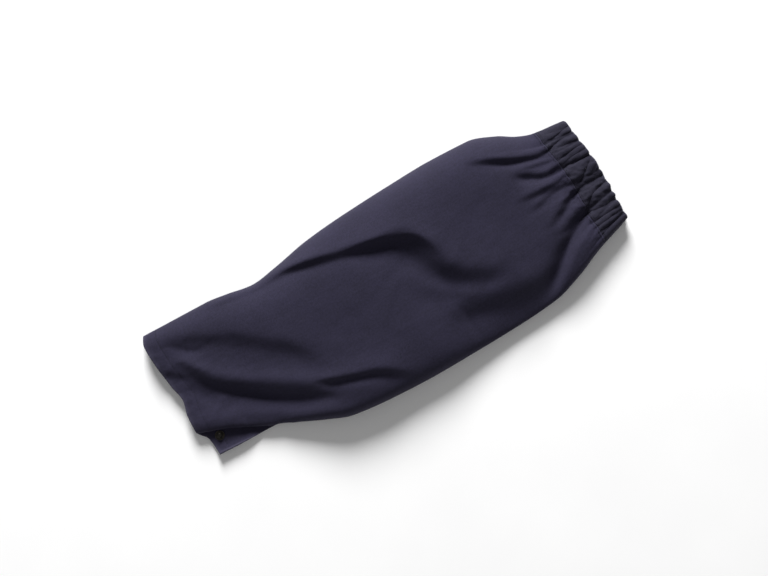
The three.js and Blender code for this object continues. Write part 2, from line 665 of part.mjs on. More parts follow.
const SOCKET_RADIUS = SOCKET_DIAMETER / 2;
const MOUTH_RADIUS = KNOB_DIAMETER / 2 + CLEARANCE;
addPiece(
  "snap_socket",
  turned([
    [HOLE_RADIUS, socketBottom],
    [SOCKET_RADIUS, socketBottom],
    [SOCKET_RADIUS, socketBottom + SOCKET_HEIGHT * 0.7],
    [SOCKET_RADIUS * 0.85, socketBottom + SOCKET_HEIGHT],
    [MOUTH_RADIUS, socketBottom + SOCKET_HEIGHT],
    [MOUTH_RADIUS, socketFloor],
    [HOLE_RADIUS, socketFloor],
    [HOLE_RADIUS, socketBottom],
  ]).translate(capAt.x, capAt.y, 0),
  blackMetal(),
);

const STUD_RADIUS = STUD_DIAMETER / 2;
const KNOB_RADIUS = KNOB_DIAMETER / 2;
const studBottom = FLAP_HEIGHT + CLEARANCE;
const knobBottom = studBottom + STUD_FLANGE;
const knobTop = knobBottom + KNOB_HEIGHT;
const shankTop = knobBottom + KNOB_HEIGHT * 0.3;
addPiece(
  "snap_stud",
  turned([
    [HOLE_RADIUS, studBottom],
    [STUD_RADIUS, studBottom],
    [STUD_RADIUS, studBottom + STUD_FLANGE * 0.6],
    [STUD_RADIUS * 0.85, knobBottom],
    [KNOB_RADIUS * 0.9, knobBottom],
    [KNOB_RADIUS, knobBottom + KNOB_HEIGHT * 0.6],
    [KNOB_RADIUS * 0.7, knobTop],
    [0, knobTop],
    [0, shankTop + CLEARANCE],
    [HOLE_RADIUS, shankTop + CLEARANCE],
    [HOLE_RADIUS, studBottom],
  ]).translate(studAt.x, studAt.y, 0),
  blackMetal(),
);

const POST_RADIUS = POST_DIAMETER / 2;
addPiece(
  "snap_post",
  turned([
    [0, CLEARANCE],
    [POST_RADIUS, CLEARANCE],
    [POST_RADIUS, POST_TOP],
    [SHANK_RADIUS, POST_TOP],
    [SHANK_RADIUS, shankTop],
    [0, shankTop],
  ]).translate(studAt.x, studAt.y, 0),
  blackMetal(),
);

// The origin goes to the middle of the base
const extent = new THREE.Box3().setFromObject(sleeve);
const middle = extent.getCenter(new THREE.Vector3());
sleeve.position.set(-middle.x, -middle.y, 0);

export default sleeve;
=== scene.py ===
import math

import bmesh
import bpy
import numpy as np
from mathutils import Matrix, Vector, noise


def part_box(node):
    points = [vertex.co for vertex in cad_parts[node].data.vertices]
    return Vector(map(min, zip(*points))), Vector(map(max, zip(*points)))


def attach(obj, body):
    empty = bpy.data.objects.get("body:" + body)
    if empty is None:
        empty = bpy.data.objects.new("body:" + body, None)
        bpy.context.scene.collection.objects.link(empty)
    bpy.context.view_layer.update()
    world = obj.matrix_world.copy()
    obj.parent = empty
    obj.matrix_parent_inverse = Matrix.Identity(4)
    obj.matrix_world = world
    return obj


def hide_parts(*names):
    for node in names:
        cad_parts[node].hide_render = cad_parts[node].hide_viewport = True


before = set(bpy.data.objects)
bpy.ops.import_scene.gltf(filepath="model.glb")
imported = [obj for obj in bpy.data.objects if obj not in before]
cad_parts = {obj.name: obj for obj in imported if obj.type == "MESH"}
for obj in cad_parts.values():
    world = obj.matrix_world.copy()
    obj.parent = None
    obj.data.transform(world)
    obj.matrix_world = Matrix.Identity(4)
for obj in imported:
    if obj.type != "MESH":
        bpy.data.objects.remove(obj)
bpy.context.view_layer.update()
MM = 0.001


# Sizes of the sleeve in millimetres, the same as the solids'
SLEEVE_LENGTH = 533.0
WRIST_WIDTH = 158.0
BODY_WIDTH = 216.0
ARM_WIDTH = 128.0
LOFT = 36.0
CLOTH = 1.2
CASING_LENGTH = 35.0
CASING_WALL = 3.0
HEM_WIDTH = 17.0
HEM_CLOTH = 1.0
SLIT_LENGTH = 76.0
FLAP_WIDTH = 33.0
UNDERLAP = 8.0
GATHER_DEPTH = 2.4
GATHER_REACH = 20.0
GATHER_LIFT = 1.8
CLEARANCE = 0.3
CAP_DIAMETER = 15.0
CAP_THICKNESS = 2.0
SOCKET_DIAMETER = 12.4
SOCKET_HEIGHT = 3.2
STUD_DIAMETER = 11.0
STUD_FLANGE = 1.2
KNOB_DIAMETER = 6.6
KNOB_HEIGHT = 3.2
POST_DIAMETER = 10.0
POST_FLANGE = 0.8
SHANK_DIAMETER = 4.0
SNAP_FROM_WRIST = 12.0
SNAP_FROM_SLIT = 19.0
BODY_LENGTH = SLEEVE_LENGTH - CASING_LENGTH
RIM = SLEEVE_LENGTH / BODY_LENGTH
SLIT_HEAD = SLIT_LENGTH / BODY_LENGTH
POST_TOP = CLEARANCE + POST_FLANGE
FLAP_HEIGHT = POST_TOP + CLEARANCE + HEM_CLOTH + CLEARANCE + CLOTH
CAP_LIFT = CAP_THICKNESS + CLEARANCE
TURNED_IN = CLOTH + CLEARANCE

# Cross sections: share of the body's length, width that the edges are shares of, folded edge, slit or
# seam edge, crest and folded edge's height as shares of LOFT, underside's lift as a share of GATHER_LIFT,
# how far the slit side slopes down as a share of the crest's height
SECTIONS = [
    (0, WRIST_WIDTH, 0.559, -0.442, 0.46, 0.12, 0, 0),
    (SLIT_HEAD, WRIST_WIDTH, 0.558, -0.447, 0.58, 0.12, 0, 0),
    (0.2, BODY_WIDTH, 0.396, -0.366, 0.68, 0.14, 0, 0),
    (0.265, BODY_WIDTH, 0.374, -0.428, 0.79, 0.16, 0, 0),
    (0.325, BODY_WIDTH, 0.396, -0.476, 0.87, 0.17, 0, 0),
    (0.416, BODY_WIDTH, 0.441, -0.494, 0.96, 0.18, 0, 0.1),
    (0.506, BODY_WIDTH, 0.466, -0.499, 1, 0.19, 0, 0.35),
    (0.647, BODY_WIDTH, 0.49, -0.489, 0.99, 0.19, 0, 0.35),
    (0.747, BODY_WIDTH, 0.501, -0.477, 0.97, 0.19, 0, 0.45),
    (0.847, BODY_WIDTH, 0.497, -0.453, 0.9, 0.19, 0.05, 0.35),
    (0.918, BODY_WIDTH, 0.448, -0.396, 0.8, 0.2, 0.3, 0.1),
    (0.96, BODY_WIDTH, 0.396, -0.347, 0.71, 0.21, 0.7, 0),
    (1, ARM_WIDTH, 0.615, -0.512, 0.62, 0.22, 1, 0),
    (RIM, ARM_WIDTH, 0.59, -0.41, 0.53, 0.2, 1, 0),
]

# Main folds of the upper layer, those of the solids with a few drawn a little differently: shape, depth as
# a share of LOFT, reach at the path's start and end as shares of BODY_WIDTH, path in shares of the body's
# length and of BODY_WIDTH. A roll stands up on the left of its path and drops on the right, and both sides
# run out slowly. A step drops on the right and stays down.
FOLDS = [
    ("roll", 0.075, 0.02, 0.035, [
        (0.24, 0.39), (0.33, 0.355), (0.42, 0.315), (0.52, 0.275), (0.6, 0.23), (0.66, 0.17),
    ]),
    ("roll", 0.09, 0.025, 0.03, [
        (0.46, 0.31), (0.53, 0.27), (0.585, 0.238), (0.622, 0.205), (0.645, 0.15), (0.66, 0.06), (0.67, 0),
    ]),
    ("roll", 0.115, 0.075, 0.075, [
        (0.5, 0.26), (0.56, 0.235), (0.605, 0.2), (0.628, 0.15), (0.641, 0.08), (0.654, 0),
        (0.672, -0.06), (0.7, -0.12), (0.75, -0.17), (0.84, -0.2),
    ]),
    ("ridge", 0.04, 0.03, 0.03, [
        (0.56, 0.1), (0.585, 0), (0.62, -0.09), (0.655, -0.15),
        (0.69, -0.205), (0.735, -0.245), (0.78, -0.24), (0.84, -0.2),
    ]),
    ("valley", 0.05, 0.04, 0.05, [
        (0.54, -0.04), (0.58, -0.12), (0.62, -0.19), (0.68, -0.27), (0.76, -0.31),
    ]),
    ("roll", 0.11, 0.07, 0.08, [
        (0.58, -0.22), (0.66, -0.28), (0.74, -0.32), (0.82, -0.33), (0.9, -0.28),
    ]),
    ("roll", 0.08, 0.056, 0.085, [
        (-0.05, 0.36), (0.05, 0.3), (0.13, 0.22), (0.2, 0.12), (0.26, 0.02), (0.31, -0.1), (0.36, -0.24),
    ]),
    ("ridge", 0.09, 0.03, 0.035, [
        (0, 0.27), (0.04, 0.2), (0.09, 0.075), (0.14, -0.02), (0.2, -0.105),
        (0.28, -0.22), (0.36, -0.325), (0.44, -0.41), (0.5, -0.47),
    ]),
    ("valley", 0.1, 0.03, 0.034, [
        (0, 0.22), (0.042, 0.1), (0.065, 0.01), (0.1, -0.045),
        (0.15, -0.125), (0.2, -0.2), (0.26, -0.29), (0.33, -0.375),
    ]),
    ("step", 0.14, 0.05, 0.036, [
        (-0.35, 0.33), (-0.12, 0.28), (0, 0.18), (0.042, 0.08), (0.065, 0.01), (0.1, -0.045),
        (0.15, -0.125), (0.2, -0.2), (0.26, -0.29), (0.33, -0.375), (0.42, -0.47),
    ]),
    ("ridge", 0.08, 0.035, 0.04, [
        (-0.06, -0.03), (0.03, -0.14), (0.1, -0.215), (0.2, -0.325), (0.3, -0.415), (0.38, -0.46),
    ]),
    ("roll", 0.1, 0.025, 0.04, [
        (0.27, -0.19), (0.31, -0.245), (0.35, -0.28), (0.4, -0.325), (0.45, -0.385), (0.5, -0.46),
    ]),
    ("roll", 0.07, 0.024, 0.012, [
        (0.8, 0.41), (0.86, 0.345), (0.91, 0.29), (0.97, 0.25), (1, 0.248), (1.03, 0.25),
    ]),
    ("roll", 0.045, 0.028, 0.012, [
        (0.88, 0.24), (0.92, 0.19), (0.96, 0.145), (0.99, 0.15), (1.03, 0.155),
    ]),
    ("roll", 0.05, 0.03, 0.015, [
        (0.9, -0.12), (0.94, -0.075), (0.975, -0.035), (1, -0.01), (1.04, 0.005),
    ]),
    ("valley", 0.2, 0.03, 0.035, [
        (0.81, -0.45), (0.85, -0.385), (0.9, -0.285), (0.95, -0.195), (0.99, -0.14), (1.05, -0.08),
    ]),
]

# Folds and sharper creases that the solids leave out, in the same columns
FINE_FOLDS = [
    ("roll", 0.055, 0.02, 0.025, [
        (0.1, 0.4), (0.18, 0.375), (0.25, 0.352), (0.32, 0.345), (0.4, 0.33), (0.5, 0.295),
    ]),
    ("roll", 0.07, 0.06, 0.06, [
        (0.595, 0.24), (0.615, 0.17), (0.626, 0.1), (0.634, 0.04),
        (0.645, -0.02), (0.665, -0.09), (0.7, -0.15),
    ]),
    ("valley", 0.04, 0.012, 0.014, [
        (0.5, 0.285), (0.55, 0.262), (0.59, 0.255), (0.62, 0.24), (0.638, 0.205), (0.645, 0.15),
    ]),
    ("valley", 0.05, 0.012, 0.014, [
        (0.54, 0.245), (0.585, 0.215), (0.615, 0.2), (0.632, 0.17), (0.645, 0.12),
    ]),
    ("valley", 0.03, 0.012, 0.014, [(0.64, -0.22), (0.655, -0.29), (0.657, -0.37), (0.66, -0.45)]),
    ("ridge", 0.05, 0.014, 0.016, [(0.02, 0.215), (0.045, 0.195), (0.07, 0.13), (0.1, 0.06)]),
    ("valley", 0.07, 0.014, 0.02, [
        (0.035, 0.2), (0.045, 0.12), (0.065, 0.04), (0.09, -0.03),
        (0.13, -0.1), (0.18, -0.18), (0.23, -0.25),
    ]),
    ("valley", 0.05, 0.025, 0.025, [(0.015, 0.09), (0.035, 0.02), (0.055, -0.04), (0.085, -0.09)]),
    ("valley", 0.03, 0.012, 0.014, [(0.02, 0.31), (0.045, 0.265), (0.07, 0.215), (0.11, 0.18)]),
    ("step", 0.08, 0.03, 0.03, [
        (0.005, -0.19), (0.04, -0.15), (0.075, -0.09), (0.11, -0.075), (0.15, -0.12),
        (0.19, -0.18), (0.23, -0.24), (0.28, -0.31), (0.33, -0.365),
    ]),
    ("valley", 0.03, 0.02, 0.02, [
        (0.03, -0.165), (0.07, -0.195), (0.11, -0.235), (0.16, -0.29), (0.22, -0.34),
    ]),
    ("valley", 0.04, 0.016, 0.016, [(0.2, -0.21), (0.25, -0.27), (0.29, -0.32), (0.33, -0.36)]),
    ("valley", 0.05, 0.014, 0.02, [
        (0.28, -0.225), (0.31, -0.265), (0.36, -0.3), (0.41, -0.34), (0.46, -0.4),
    ]),
    ("valley", 0.08, 0.016, 0.012, [
        (0.84, 0.355), (0.89, 0.3), (0.94, 0.265), (0.99, 0.248), (1.05, 0.25),
    ]),
    ("valley", 0.08, 0.018, 0.012, [
        (0.88, 0.215), (0.92, 0.17), (0.95, 0.145), (0.98, 0.14), (1.04, 0.142),
    ]),
    ("valley", 0.07, 0.018, 0.014, [(0.92, -0.11), (0.955, -0.07), (0.985, -0.035), (1.03, 0.005)]),
    ("roll", 0.05, 0.02, 0.012, [(0.9, 0.24), (0.95, 0.215), (1, 0.205), (1.06, 0.205)]),
    ("roll", 0.05, 0.02, 0.014, [
        (0.86, 0.1), (0.91, 0.085), (0.96, 0.085), (1, 0.1), (1.05, 0.115),
    ]),
    ("roll", 0.05, 0.022, 0.014, [
        (0.88, 0.01), (0.92, 0.03), (0.96, 0.05), (1, 0.05), (1.05, 0.05),
    ]),
    ("valley", 0.09, 0.016, 0.014, [
        (0.84, -0.41), (0.88, -0.325), (0.92, -0.25), (0.96, -0.18), (1, -0.13), (1.05, -0.1),
    ]),
    ("ridge", 0.04, 0.015, 0.015, [(0.86, -0.42), (0.9, -0.34), (0.95, -0.26), (1, -0.2)]),
    ("valley", 0.05, 0.016, 0.014, [(0.9, 0.08), (0.94, 0.06), (0.98, 0.055), (1.03, 0.06)]),
    ("valley", 0.05, 0.014, 0.012, [(0.92, -0.19), (0.96, -0.15), (1, -0.125), (1.05, -0.1)]),
]

# Creases across the casing, all valleys, in the columns after the shape: thin, close and partly slanted
# where the elastic draws
CASING_CREASES = [("valley", *row) for row in [
    (0.09, 0.007, 0.009, [(0.96, 0.245), (0.985, 0.25), (1.01, 0.262), (1.045, 0.268), (1.1, 0.25)]),
    (0.06, 0.006, 0.007, [(1, 0.24), (1.03, 0.235), (1.06, 0.23), (1.1, 0.225)]),
    (0.06, 0.006, 0.006, [(0.985, 0.165), (1, 0.176), (1.03, 0.19), (1.06, 0.195), (1.1, 0.19)]),
    (0.06, 0.006, 0.006, [(0.95, 0.14), (0.98, 0.148), (1.01, 0.158), (1.05, 0.167), (1.1, 0.165)]),
    (0.1, 0.007, 0.008, [(0.985, 0.115), (1, 0.128), (1.02, 0.138), (1.05, 0.132), (1.1, 0.122)]),
    (0.08, 0.007, 0.009, [(1, 0.01), (1.015, 0.025), (1.04, 0.065), (1.06, 0.1), (1.1, 0.15)]),
    (0.16, 0.009, 0.012, [(0.955, -0.045), (0.98, -0.02), (1.01, 0), (1.04, 0.006), (1.12, 0.01)]),
    (0.1, 0.007, 0.008, [(0.99, -0.125), (1.01, -0.1), (1.025, -0.07), (1.05, -0.045), (1.1, -0.02)]),
    (0.11, 0.007, 0.007, [(0.97, -0.155), (1, -0.142), (1.03, -0.138), (1.055, -0.125), (1.1, -0.115)]),
    (0.06, 0.006, 0.006, [(1.03, -0.155), (1.05, -0.142), (1.07, -0.135), (1.1, -0.13)]),
    (0.08, 0.006, 0.007, [(0.98, -0.21), (1, -0.195), (1.03, -0.185), (1.06, -0.178), (1.1, -0.17)]),
    (0.08, 0.006, 0.007, [(0.985, -0.235), (1.005, -0.22), (1.03, -0.21), (1.06, -0.2), (1.1, -0.195)]),
    (0.08, 0.006, 0.008, [(0.99, -0.262), (1.01, -0.245), (1.04, -0.235), (1.06, -0.228), (1.1, -0.22)]),
    (0.06, 0.007, 0.007, [(0.985, 0.3), (1.005, 0.292), (1.03, 0.3), (1.06, 0.31), (1.1, 0.305)]),
    (0.04, 0.007, 0.007, [(0.985, 0.335), (1.01, 0.325), (1.04, 0.318), (1.1, 0.33)]),
]]

# How the upper layer's height falls from the crest to each side, as powers: where the curve starts, how
# round it is, and how near the edge the folds die away
FOLDED_SIDE = {"from": 5.4, "round": 0.62, "inside": 12}
SLIT_SIDE = {"fall": 3, "from": 16, "round": 0.5, "inside": 18}
# Toward the arm end the top also leans down to the slit side: slope, and shares of the body's length
# between which it sets in and ends
ARM_LEAN = 0.05
LEAN_STARTS = (0.55, 0.7)
LEAN_ENDS = (0.9, 1)
# Share of its path over which a fold fades at each end, how far a roll runs out, how steep a step is
FOLD_FADE = 0.3
ROLL_TAIL = 3.5
STEP_STEEPNESS = 1.6
# The slit's free edge curls up a little: height and width in millimetres, where along the slit it sets in
SLIT_CURL = 4.2
SLIT_CURL_WIDTH = 13.0
CURL_STARTS = (0.05, 0.6)
# The lower layer: share of its width over which its wrist edge leaves the upper one, power and strength of
# its round sides, and how far round the cap it is lifted, in cap diameters
LOWER_EDGE_BLEND = 0.3
LOWER_SIDE_POWER = 8
LOWER_SIDE_STRENGTH = 1.1
CAP_REST = (1.3, 3.2)
# Share of the slit's length over which the edges change from those of a closed tube, how much the columns
# crowd toward the sides, and the share of the upper layer's columns that are on the flap beside the slit
SLIT_BLEND = 0.3
CROWDING = 0.6
FLAP_SHARE = 4 / 32

# Wrist and arm edges seen from above: place across and set-back, as shares of the end's width
WRIST_EDGE = [
    (-0.442, 0.051), (-0.31, 0.034), (-0.225, -0.022), (-0.1, -0.019),
    (0.025, 0.004), (0.15, -0.022), (0.48, -0.055), (0.559, -0.03),
]
ARM_EDGE = [(-0.5, 0.035), (-0.2, 0.02), (0, 0.022), (0.2, 0.005), (0.4, -0.025), (0.6, -0.055)]
# The lower layer's own set-back at the wrist, and the shares of the body's length that the edges shape
LOWER_EDGE_BACK = 0.03
WRIST_EDGE_REACH = 0.3
ARM_EDGE_REACH = 0.25

# Gathers: relative width and height, and slant as a share of the way round, slit side to folded side
GATHERS = [0.85, 1.05, 0.97, 1.15, 0.88, 1.14, 1.2, 0.9, 1.15]
GATHER_HEIGHTS = [1, 0.85, 1.1, 0.95, 0.8, 1.1, 1, 0.85, 1.1]
GATHER_SLANTS = [0.004, -0.006, 0.01, 0.014, 0.012, -0.004, 0.008, -0.006, 0.003]
# A gather's roundness and the small ripple on it, how far the casing swells between its stitch line and
# rim, and how far its gathers push the rim out, as shares of their height
PUFF_POWER = 0.8
PUFF_RIPPLE = 0.12
CASING_SWELL = 0.25
RIM_PUSH = 0.6
LAST_SHARE = 0.999999


def curve_of(keys, values):
    """A smooth curve through a table's column, without overshoot."""
    keys = np.asarray(keys, float)
    values = np.asarray(values, float)
    slopes = np.diff(values) / np.diff(keys)
    tangents = np.zeros_like(values)
    tangents[0], tangents[-1] = slopes[0], slopes[-1]
    a, b = slopes[:-1], slopes[1:]
    same = a * b > 0
    tangents[1:-1] = np.where(same, 2 * a * b / np.where(same, a + b, 1), 0)

    def at(x):
        x = np.clip(x, keys[0], keys[-1])
        i = np.clip(np.searchsorted(keys, x, side="right") - 1, 0, len(keys) - 2)
        span = keys[i + 1] - keys[i]
        u = (x - keys[i]) / span
        u2, u3 = u * u, u * u * u
        return (
            (2 * u3 - 3 * u2 + 1) * values[i]
            + (u3 - 2 * u2 + u) * span * tangents[i]
            + (3 * u2 - 2 * u3) * values[i + 1]
            + (u3 - u2) * span * tangents[i + 1]
        )

    return at


def end_edge(table, width):
    """How far an end's edge is set back at each place across, in millimetres."""
    across, back = np.array(table, float).T
    return curve_of(across * width, back * width)


ALONG, WIDTHS, FOLDED_EDGES, SLIT_EDGES, CRESTS, EDGE_HEIGHTS, LIFTS, FALLS = np.array(SECTIONS, float).T
upper_edge = curve_of(ALONG, FOLDED_EDGES * WIDTHS)
lower_edge = curve_of(ALONG, SLIT_EDGES * WIDTHS)
crest = curve_of(ALONG, CRESTS * LOFT)
edge_height = curve_of(ALONG, EDGE_HEIGHTS * LOFT)
gather_lift = curve_of(ALONG, LIFTS * GATHER_LIFT)
slit_fall = curve_of(ALONG, FALLS)
wrist_back = end_edge(WRIST_EDGE, WRIST_WIDTH)
arm_back = end_edge(ARM_EDGE, ARM_WIDTH)


def smoothstep(x, low, high):
    u = np.clip((x - low) / (high - low), 0, 1)
    return u * u * (3 - 2 * u)


def slit_share(s):
    """From 1 at the wrist edge to 0 at the slit's head."""
    return np.clip(1 - s / SLIT_HEAD, 0, 1)


def slit_blend(s):
    return smoothstep(slit_share(s), 0, SLIT_BLEND)


def wrist_share(s):
    return np.clip(1 - s / WRIST_EDGE_REACH, 0, 1) ** 2


def arm_share(s):
    return smoothstep(s, 1 - ARM_EDGE_REACH, 1)


def fold_line(s):
    """The line along which the flap beside the slit meets the rising cloth."""
    return lower_edge(s) + FLAP_WIDTH * slit_share(s)


def lower_slit_edge(s):
    return fold_line(s) + UNDERLAP * np.sqrt(slit_share(s))


STUD_Y = float(lower_edge(0.0)) + SNAP_FROM_SLIT
STUD_AT = (float(wrist_back(STUD_Y)) + SNAP_FROM_WRIST, STUD_Y)
CAP_AT = (
    LOWER_EDGE_BACK * WRIST_WIDTH + SNAP_FROM_WRIST,
    float(lower_slit_edge(0.0)) + SNAP_FROM_SLIT,
)

# The solids' origin is the middle of their base, so the cap's place gives the shift
cap_low, cap_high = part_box("snap_cap")
SHIFT = np.array([
    (cap_low[0] + cap_high[0]) / 2 / MM - CAP_AT[0],
    (cap_low[1] + cap_high[1]) / 2 / MM - CAP_AT[1],
    0.0,
])


def spline(points, steps=20):
    """The curve through a fold's few points."""
    points = [np.array(p, float) for p in points]
    last = len(points) - 1
    made = []
    for k in range(steps + 1):
        p = last * k / steps
        i = min(int(p), last - 1) if k < steps else last - 1
        w = p - i
        p0 = points[max(i - 1, 0)]
        p1, p2 = points[i], points[i + 1]
        p3 = points[min(i + 2, last)]
        v0, v1 = (p2 - p0) * 0.5, (p3 - p1) * 0.5
        cubic = 2 * p1 - 2 * p2 + v0 + v1
        square = -3 * p1 + 3 * p2 - 2 * v0 - v1
        made.append(cubic * w ** 3 + square * w * w + v0 * w + p1)
    return made


# Height across each shape of fold, at a distance r from its path in reaches, on its left or right side
FOLD_SHAPES = {
    "ridge": lambda r, side: np.exp(-0.5 * r * r),
    "valley": lambda r, side: -np.exp(-0.5 * r * r),
    "roll": lambda r, side: side * 2 * r / (1 + r * r) * np.exp(-0.5 * (r / ROLL_TAIL) ** 2),
    "step": lambda r, side: -0.5 * (1 - np.tanh(STEP_STEEPNESS * side * r)),
}
# Distance past which each has died away, in reaches
FOLD_REACH = {"ridge": 3.6, "valley": 3.6, "roll": 9.5, "step": 12}


def fold_height(x, y, table):
    """The height that a table's folds add at each place, in millimetres."""
    total = np.zeros_like(x)
    scale = np.array([BODY_LENGTH, BODY_WIDTH])
    for shape, depth, start, end, path in table:
        path = np.array([p * scale for p in spline(path)])
        margin = FOLD_REACH[shape] * max(start, end) * BODY_WIDTH
        low, high = path.min(0) - margin, path.max(0) + margin
        near = (x > low[0]) & (x < high[0]) & (y > low[1]) & (y < high[1])
        px, py = x[near], y[near]
        best = np.full_like(px, np.inf)
        side = np.zeros_like(px)
        travelled = np.zeros_like(px)
        before = 0.0
        for a, b in zip(path, path[1:]):
            d = b - a
            length = float(np.hypot(*d))
            u = np.clip(((px - a[0]) * d[0] + (py - a[1]) * d[1]) / length ** 2, 0, 1)
            ex, ey = px - a[0] - u * d[0], py - a[1] - u * d[1]
            distance = np.hypot(ex, ey)
            nearer = distance < best
            best = np.where(nearer, distance, best)
            side = np.where(nearer, np.where(d[0] * ey - d[1] * ex < 0, -1.0, 1.0), side)
            travelled = np.where(nearer, before + u * length, travelled)
            before += length
        share = travelled / before
        r = best / ((start + (end - start) * share) * BODY_WIDTH)
        fade = smoothstep(share, 0, FOLD_FADE) * smoothstep(1 - share, 0, FOLD_FADE)
        total[near] += depth * LOFT * fade * FOLD_SHAPES[shape](r, side)
    return total


def softened(field, spread):
    """A field blurred by a bell curve whose width is given in cells."""
    reach = int(math.ceil(3 * spread))
    weights = np.exp(-0.5 * (np.arange(-reach, reach + 1) / spread) ** 2)
    weights /= weights.sum()
    for axis in (0, 1):
        margins = [(reach, reach) if k == axis else (0, 0) for k in (0, 1)]
        padded = np.pad(field, margins, mode="edge")
        count = field.shape[axis]
        field = sum(np.take(padded, range(i, i + count), axis=axis) * w for i, w in enumerate(weights))
    return field


def wander(x, y, size, seed):
    """Smooth noise over the plane, from -1 to 1, in lumps about as wide as the size in millimetres."""
    flat = np.stack([x.ravel() / size, y.ravel() / size], -1)
    made = [noise.noise(Vector((a + seed, b - seed, seed * 0.5))) for a, b in flat]
    return np.array(made).reshape(x.shape)


# The folds' heights on a grid of 1 mm cells, worked out once and read from there
FIELD_START = np.array([-30.0, -130.0])
FIELD_CELLS = (610, 260)
FOLD_BLUR = 1.3
CREASE_BLUR = 0.6
field_x, field_y = np.meshgrid(
    FIELD_START[0] + np.arange(FIELD_CELLS[0]), FIELD_START[1] + np.arange(FIELD_CELLS[1]), indexing="ij"
)
# Paths sway by a few millimetres, so that no fold is a drawn line
sway_x = field_x + 3.0 * wander(field_x, field_y, 45.0, 5.0)
sway_y = field_y + 2.2 * wander(field_x, field_y, 38.0, 11.0)
FOLD_FIELD = (
    softened(fold_height(sway_x, sway_y, FOLDS + FINE_FOLDS), FOLD_BLUR)
    + softened(fold_height(field_x, field_y, CASING_CREASES), CREASE_BLUR)
)

# Small undulations of packed cloth, finer crumples toward both ends and a few lumps beside the wrist hem:
# heights and sizes in millimetres
field_s = field_x / BODY_LENGTH
near_gathers = smoothstep(field_s, 0.84, 0.98)
near_wrist = smoothstep(0.28 - field_s, 0, 0.2)
near_hem = 1 - smoothstep(field_x, 4, 42)
crumpled = near_gathers + 0.6 * near_wrist
RIPPLE_FIELD = (
    0.9 * wander(field_x, field_y, 42.0, 3.0)
    + 0.45 * wander(field_x, field_y, 17.0, 9.0)
    + (0.12 + 0.3 * crumpled) * wander(field_x * 0.45, field_y, 5.5, 21.0)
    + 0.5 * near_hem * wander(field_x, field_y, 8.0, 61.0)
)
# Where the elastic draws the cloth together it breaks into sharp little creases between rounded lumps,
# slanted to either side
CREASE_DEPTH = 1.6
CREASE_SIZE = 4.2
CREASE_SLANT = 0.35
CREASE_SHARPNESS = 2.2
drawn = smoothstep(field_s, 0.955, 1.0)
slanted_y = field_y + CREASE_SLANT * field_x * np.sign(wander(field_x, field_y, 60.0, 31.0))
ridged = 1 - np.abs(wander(field_x * 0.3, slanted_y, CREASE_SIZE, 41.0)) * CREASE_SHARPNESS
RIPPLE_FIELD = RIPPLE_FIELD - softened(CREASE_DEPTH * drawn * np.clip(ridged, 0, 1) ** 3, CREASE_BLUR)

# The hem's second layer raises its face a little and its stitches sink into it, unevenly. Stitching
# puckers the casing's seam. Lengths are in millimetres.
HEM_RELIEF = 0.45
HEM_RELIEF_ENDS = (HEM_WIDTH - 2.5, HEM_WIDTH + 0.5)
HEM_SUNK = 0.5
HEM_UNEVENNESS = 0.8
HEM_LINE = HEM_WIDTH - 2.2
HEM_LINE_WIDTH = 1.3
SEAM_PUCKER = 1.1
PUCKER_REACH = 12.0
PUCKER_FIELD = wander(field_x * 0.2, field_y, 6.5, 51.0)


def read_field(field, x, y):
    """A field's value between its grid points."""
    u = np.clip(x - FIELD_START[0], 0, FIELD_CELLS[0] - 1.001)
    v = np.clip(y - FIELD_START[1], 0, FIELD_CELLS[1] - 1.001)
    i, j = u.astype(int), v.astype(int)
    u, v = u - i, v - j
    near = field[i, j] * (1 - v) + field[i, j + 1] * v
    far = field[i + 1, j] * (1 - v) + field[i + 1, j + 1] * v
    return near * (1 - u) + far * u


def crowded(q):
    """A share of the way across, moved so that the columns lie closer together at the sides."""
    return q + CROWDING * ((1 - np.cos(np.pi * q)) / 2 - q)


def upper_layer(s, q):
    """The upper layer's points, from the slit side at q = 0 to the folded side at q = 1."""
    low, high, fold = lower_edge(s), upper_edge(s), fold_line(s)
    flap = crowded(FLAP_SHARE)
    edge_part = np.maximum(fold - low, flap * (high - low))
    rest = (crowded(q) - flap) / (1 - flap)
    flat = np.maximum((fold - low) * q / FLAP_SHARE, crowded(q) * (high - low))
    on_flap = low + np.minimum(flat, edge_part)
    past_flap = low + edge_part + rest * (high - low - edge_part)
    y = np.where(q < FLAP_SHARE, on_flap, past_flap)
    x = s * BODY_LENGTH + wrist_back(y) * wrist_share(s) + arm_back(y) * arm_share(s)
    foot = edge_height(s) + (FLAP_HEIGHT - edge_height(s)) * slit_blend(s)
    across = np.clip(2 * (y - fold) / (high - fold) - 1, -1, 1)
    out = np.abs(across)
    folded = (1 - out ** FOLDED_SIDE["from"]) ** FOLDED_SIDE["round"]
    sloping = 1 - slit_fall(s) * out ** SLIT_SIDE["fall"]
    slit = sloping * (1 - out ** SLIT_SIDE["from"]) ** SLIT_SIDE["round"]
    dome = np.where(across > 0, folded, slit)
    inside = 1 - out ** np.where(across > 0, FOLDED_SIDE["inside"], SLIT_SIDE["inside"])
    end = np.where(across > 0, edge_height(s), foot)
    leaning = smoothstep(s, *LEAN_STARTS) * (1 - smoothstep(s, *LEAN_ENDS))
    lean = ARM_LEAN * leaning * (y - (fold + high) / 2)
    z = end + (crest(s) - end) * dome + (read_field(FOLD_FIELD, x, y) + lean) * inside
    from_edge = (y - low) / SLIT_CURL_WIDTH
    curl = SLIT_CURL * np.clip(1 - from_edge, 0, 1) ** 2 * smoothstep(slit_share(s), *CURL_STARTS)
    return np.stack([x, y, np.where(y <= fold, foot + curl, z)], -1)


